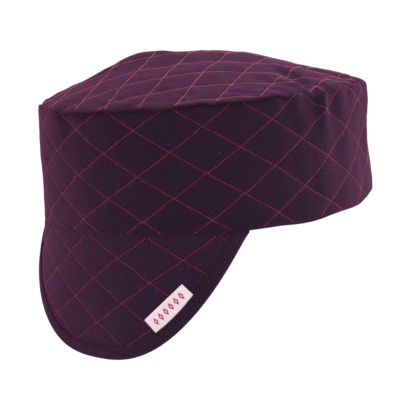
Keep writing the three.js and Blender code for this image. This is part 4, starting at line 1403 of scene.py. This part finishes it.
def line_mesh(name, lines):
    """Rows of points, each a pair of arrays: points in mm and the cloth's outward directions."""
    edges, start = [], 0
    for points, _ in lines:
        edges += [(start + i, start + i + 1) for i in range(len(points) - 1)]
        start += len(points)
    mesh = bpy.data.meshes.new(name)
    mesh.from_pydata((np.vstack([points for points, _ in lines]) * MM).tolist(), edges, [])
    facing = np.vstack([directions for _, directions in lines]).astype(np.float32).ravel()
    mesh.attributes.new("cloth_normal", "FLOAT_VECTOR", "POINT").data.foreach_set("vector", facing)
    return mesh


def sew(name, lines, thread, seed, **sizes):
    """Stitches along lines, as one plain mesh."""
    guide = bpy.data.objects.new(name + "_lines", line_mesh(name + "_lines", lines))
    bpy.context.scene.collection.objects.link(guide)
    modifier = guide.modifiers.new("stitching", "NODES")
    modifier.node_group = STITCHING
    size = {**STITCH, **sizes}
    values = {"Pitch": size["pitch"] * MM, "Stitch length": size["length"] * MM,
              "Thread width": size["width"] * MM, "Stitch height": size["height"] * MM,
              "Sides": size["sides"], "Seed": seed, "Thread": thread}
    for item in STITCHING.interface.items_tree:
        if item.in_out == "INPUT" and item.name in values:
            modifier[item.identifier] = values[item.name]
    evaluated = guide.evaluated_get(bpy.context.evaluated_depsgraph_get())
    stitches = bpy.data.meshes.new_from_object(evaluated)
    stitches.name = name
    piece = bpy.data.objects.new(name, stitches)
    bpy.context.scene.collection.objects.link(piece)
    bpy.data.objects.remove(guide)
    print(name, sum(len(polygon.vertices) - 2 for polygon in stitches.polygons), "triangles")
    return piece


print("a stitch is", STITCH["length"], "mm long, one every", STITCH["pitch"], "mm")

# %% [markdown]
# ## Laying the lines
# A line of the quilting is a straight line on the flat cloth. A perfectly straight one would look
# printed, so each has the slight waver of cloth fed by hand, and some make a small step where they
# cross another line. The part that lies on the panel is kept and carried onto the worn shape by the
# panel's own formula.

# %% The waver of a hand-fed line
WAVER = {"size": 0.38, "shares": (0.6, 0.3, 0.25)}
JOG = {"size": 2.0, "least": 0.3, "share": 0.55, "crossings": 80, "fade": -4.5}
LINE_STEP = 0.6


def waver(swings, chance):
    """Sideways wander in mm. swings holds the phases of its long, middle and short waves."""
    phases = chance.uniform(0.0, FULL_TURN, 3)
    return WAVER["size"] * sum(share * np.sin(swing + phase) for share, swing, phase
                               in zip(WAVER["shares"], swings, phases))


def jog(crossings, chance):
    """Small sideways steps that some lines make where they cross another, fading before the next."""
    count = JOG["crossings"]
    sizes = JOG["size"] * chance.uniform(JOG["least"], 1.0, count)
    sizes = sizes * (chance.uniform(0.0, 1.0, count) < JOG["share"])
    number = np.floor(crossings).astype(int)
    part = crossings - number
    return sizes[np.mod(number, count)] * smooth(0.0, 0.05, part) * np.exp(JOG["fade"] * part)


def on_cloth(surface, u, v):
    """A line as a pair: its points on the worn cap, and the cloth's outward directions."""
    return surface(u, v), normal_of(surface, u, v)


print("lines are laid in steps of", LINE_STEP, "mm")

# %% Lines of a flat panel
def quilting_lines(lattice, surface, inside, counts, reach, seed):
    """All stitch lines of a panel. inside says which flat places are on the panel."""
    chance = np.random.default_rng(seed)
    side = math.hypot(lattice["long"], lattice["short"]) / 2.0
    gap = line_gap(lattice)
    lines = []
    for family in (0, 1):
        for count in counts:
            along = np.arange(-reach, reach, LINE_STEP / side)
            beside = count + waver((along * 2.1, along * 5.3, along * 12.0), chance) / gap
            if family == 0:
                beside = beside - jog(-along, chance) / gap
            u, v = from_lines(lattice, *((beside, along) if family == 0 else (along, beside)))
            keep = inside(u, v)
            if keep.sum() < 4:
                continue
            for run in np.split(np.arange(len(u)), np.flatnonzero(np.diff(keep.astype(int))) + 1):
                if keep[run[0]] and len(run) > 3:
                    lines.append(on_cloth(surface, u[run], v[run]))
    return lines


crossing = 2.0 * math.degrees(math.atan2(TOP_LATTICE["short"], TOP_LATTICE["long"]))
print(f"the top's two families of lines cross at {crossing:.0f} degrees")

# %% Lines of the band
# The quilting ends this far, in mm, from these edges
MARGIN = {"rim": 1.3, "seam": 1.2, "top": 1.6, "bill_end": 0.5, "bill_seam": 1.2, "tape": 0.2,
          "label": 0.3}
# A length of cloth that reaches past the top seam everywhere
HIGHEST = 72.0


def on_band(u, s):
    return (s > MARGIN["rim"]) & (s < band_end(u) - MARGIN["seam"])


def band_lines(depth, seed):
    """Each line climbs once from the rim to the seam, so the first DIAMONDS_ROUND of a family do."""
    def surface(u, s):
        return band_cloth(u, s, np.full(np.shape(u), depth))
    chance = np.random.default_rng(seed)
    lines = []
    for slope in (1.0, -1.0):
        for count in range(DIAMONDS_ROUND):
            s = np.arange(MARGIN["rim"], HIGHEST, LINE_STEP * 0.55)
            aside = waver((s / 9.0, s / 4.0, s / 1.8), chance)
            if slope > 0.0:
                aside = aside - jog((BAND_LATTICE["v"] - s) / DIAMOND_SHORT * 2.0, chance)
            u = count * DIAMOND_LONG + slope * (s - BAND_LATTICE["v"]) * DIAMOND_LONG / DIAMOND_SHORT
            u = np.mod(u + aside, ROUND)
            keep = on_band(u, s)
            lines.append(on_cloth(surface, u[keep], s[keep]))
    return lines


print(2 * DIAMONDS_ROUND, "lines climb the band")

# %% Where the top and the bill are quilted
def on_top(x, y):
    return from_top_edge(x, y) > MARGIN["top"]


def on_bill(u, v):
    inside = (np.abs(u) < TAPE_END - MARGIN["bill_end"]) & (v < -MARGIN["bill_seam"])
    return inside & ((v + bill_drop(u)) * edge_inward(u)[1] > TAPE["width"] + MARGIN["tape"])


def off_label(u, v):
    """The thread stops at the label, which lies over the quilting."""
    corners = label_place(np.array([0.0, 1.0, 1.0, 0.0]), np.array([0.0, 0.0, 1.0, 1.0]))
    polygon = np.stack(corners[:2], axis=-1)
    inside = np.ones(np.shape(u), dtype=bool)
    for first, second in zip(polygon, np.roll(polygon, -1, axis=0)):
        cross = (second[0] - first[0]) * (v - first[1]) - (second[1] - first[1]) * (u - first[0])
        inside &= cross > -MARGIN["label"]
    return ~inside


def panel_lines(depth, bill_lift, on_this_bill):
    """The stitch lines of the three quilted panels, at this depth in their cloth."""
    def top_surface(x, y):
        return top_cloth(x, y, np.full(np.shape(x), depth))

    def bill_surface(u, v):
        return bill_cloth(u, v, np.full(np.shape(u), bill_lift))
    return {
        "band": band_lines(depth, 51),
        "top": quilting_lines(TOP_LATTICE, top_surface, on_top, range(-12, 14), 14.0, 52),
        "bill": quilting_lines(BILL_LATTICE, bill_surface, on_this_bill, range(-8, 8), 9.0, 53),
    }


def turned(lines):
    """The same lines, seen from the other side of the cloth."""
    return [(points, -facing) for points, facing in lines]


print("the bill's quilting ends", TAPE["width"] + MARGIN["tape"], "mm from its free edge")

# %% Quilting the three panels
TOP_STITCH = {"pitch": 1.6, "width": 0.44, "height": 0.12}
UNDER_STITCH = {"length": 1.7, "pitch": 2.0}

outside_lines = panel_lines(0.0, 0.0, lambda u, v: on_bill(u, v) & off_label(u, v))
inside_lines = panel_lines(WALL, -BILL["wall"], on_bill)
stitch_pieces = [
    sew("stitches_band", outside_lines["band"], red_thread, seed=1),
    sew("stitches_top", outside_lines["top"], lit_top_thread, seed=2, **TOP_STITCH),
    sew("stitches_bill", outside_lines["bill"], red_thread, seed=3),
]
for number, (panel, lines) in enumerate(inside_lines.items()):
    stitch_pieces.append(sew("under_stitches_" + panel, turned(lines), red_thread, seed=number + 11,
                             **UNDER_STITCH))

# %% [markdown]
# ## Sewing the binding
# The tape is held by one row of stitches near its inner edge, in thread of the cloth's own colour. The
# row runs on both faces, because a machine sews through all layers at once.


# %% Stitches of the binding
# Where the row lies on the tape, as a share of its width, and how far off the bill in mm
BINDING_ROW = {"part": 0.83, "lift": 0.74, "points": 700, "margin": 1.5}
BINDING_STITCH = {"length": 1.7, "width": 0.36, "height": 0.10, "pitch": 1.9, "sides": 5}


def tape_line(lift, step=0.8):
    u = edge_lengths(BINDING_ROW["points"])
    u = u[np.abs(u) < TAPE_END - BINDING_ROW["margin"]]
    lift = np.full(u.shape, lift)
    reach = BINDING_ROW["part"] * tape_width(u)
    points = tape_place(u, reach, lift)
    along = np.gradient(points, axis=0)
    up = tape_place(u, reach + step, lift) - tape_place(u, reach - step, lift)
    return points, unit(np.cross(along, up))


face_line = tape_line(BINDING_ROW["lift"])
back_line = tape_line(-BILL["wall"] - BINDING_ROW["lift"])
tape_stitches = sew("stitches_binding", [face_line] + turned([back_line]), dark_thread, seed=21,
                    **BINDING_STITCH)

# %% [markdown]
# ## Handing the pieces to the frame
# The cap is one body, because cloth bends all over and has no hinge. Each cloth piece stands for the
# solid under it, and that solid is hidden.

# %% Pieces on the frame
for piece, node, finish in ((band, "crown_side", "quilted_twill"), (top, "crown_top", "quilted_twill"),
                            (bill, "bill", "quilted_twill"), (tape, "bill_binding", "plain_twill"),
                            (label, "label", "label_satin")):
    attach(piece, "root")
    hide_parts(node)
for piece in stitch_pieces:
    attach(piece, "root")
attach(tape_stitches, "root")
print("5 cloth pieces and", len(stitch_pieces) + 1, "pieces of stitches ride on the cap")

# %% [markdown]
# ## The cloth pieces
# The lengths printed above tell how much flat cloth each piece takes: round the band and up its cloth,
# across the oval and its tent, along the bill's seam and down its drop. Here the pieces are named.

# %% The cloth pieces
print("cloth cut for the", ", ".join(piece.name for piece in (band, top, bill, tape, label)))

# %% Sizes of the frame and of the finished cap
finished_box = [list(corner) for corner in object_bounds()]
for which, (low, high) in (("CAD", cad_box), ("finished", finished_box)):
    print(which, "size in mm:", [round(1000 * (b - a), 1) for a, b in zip(low, high)])
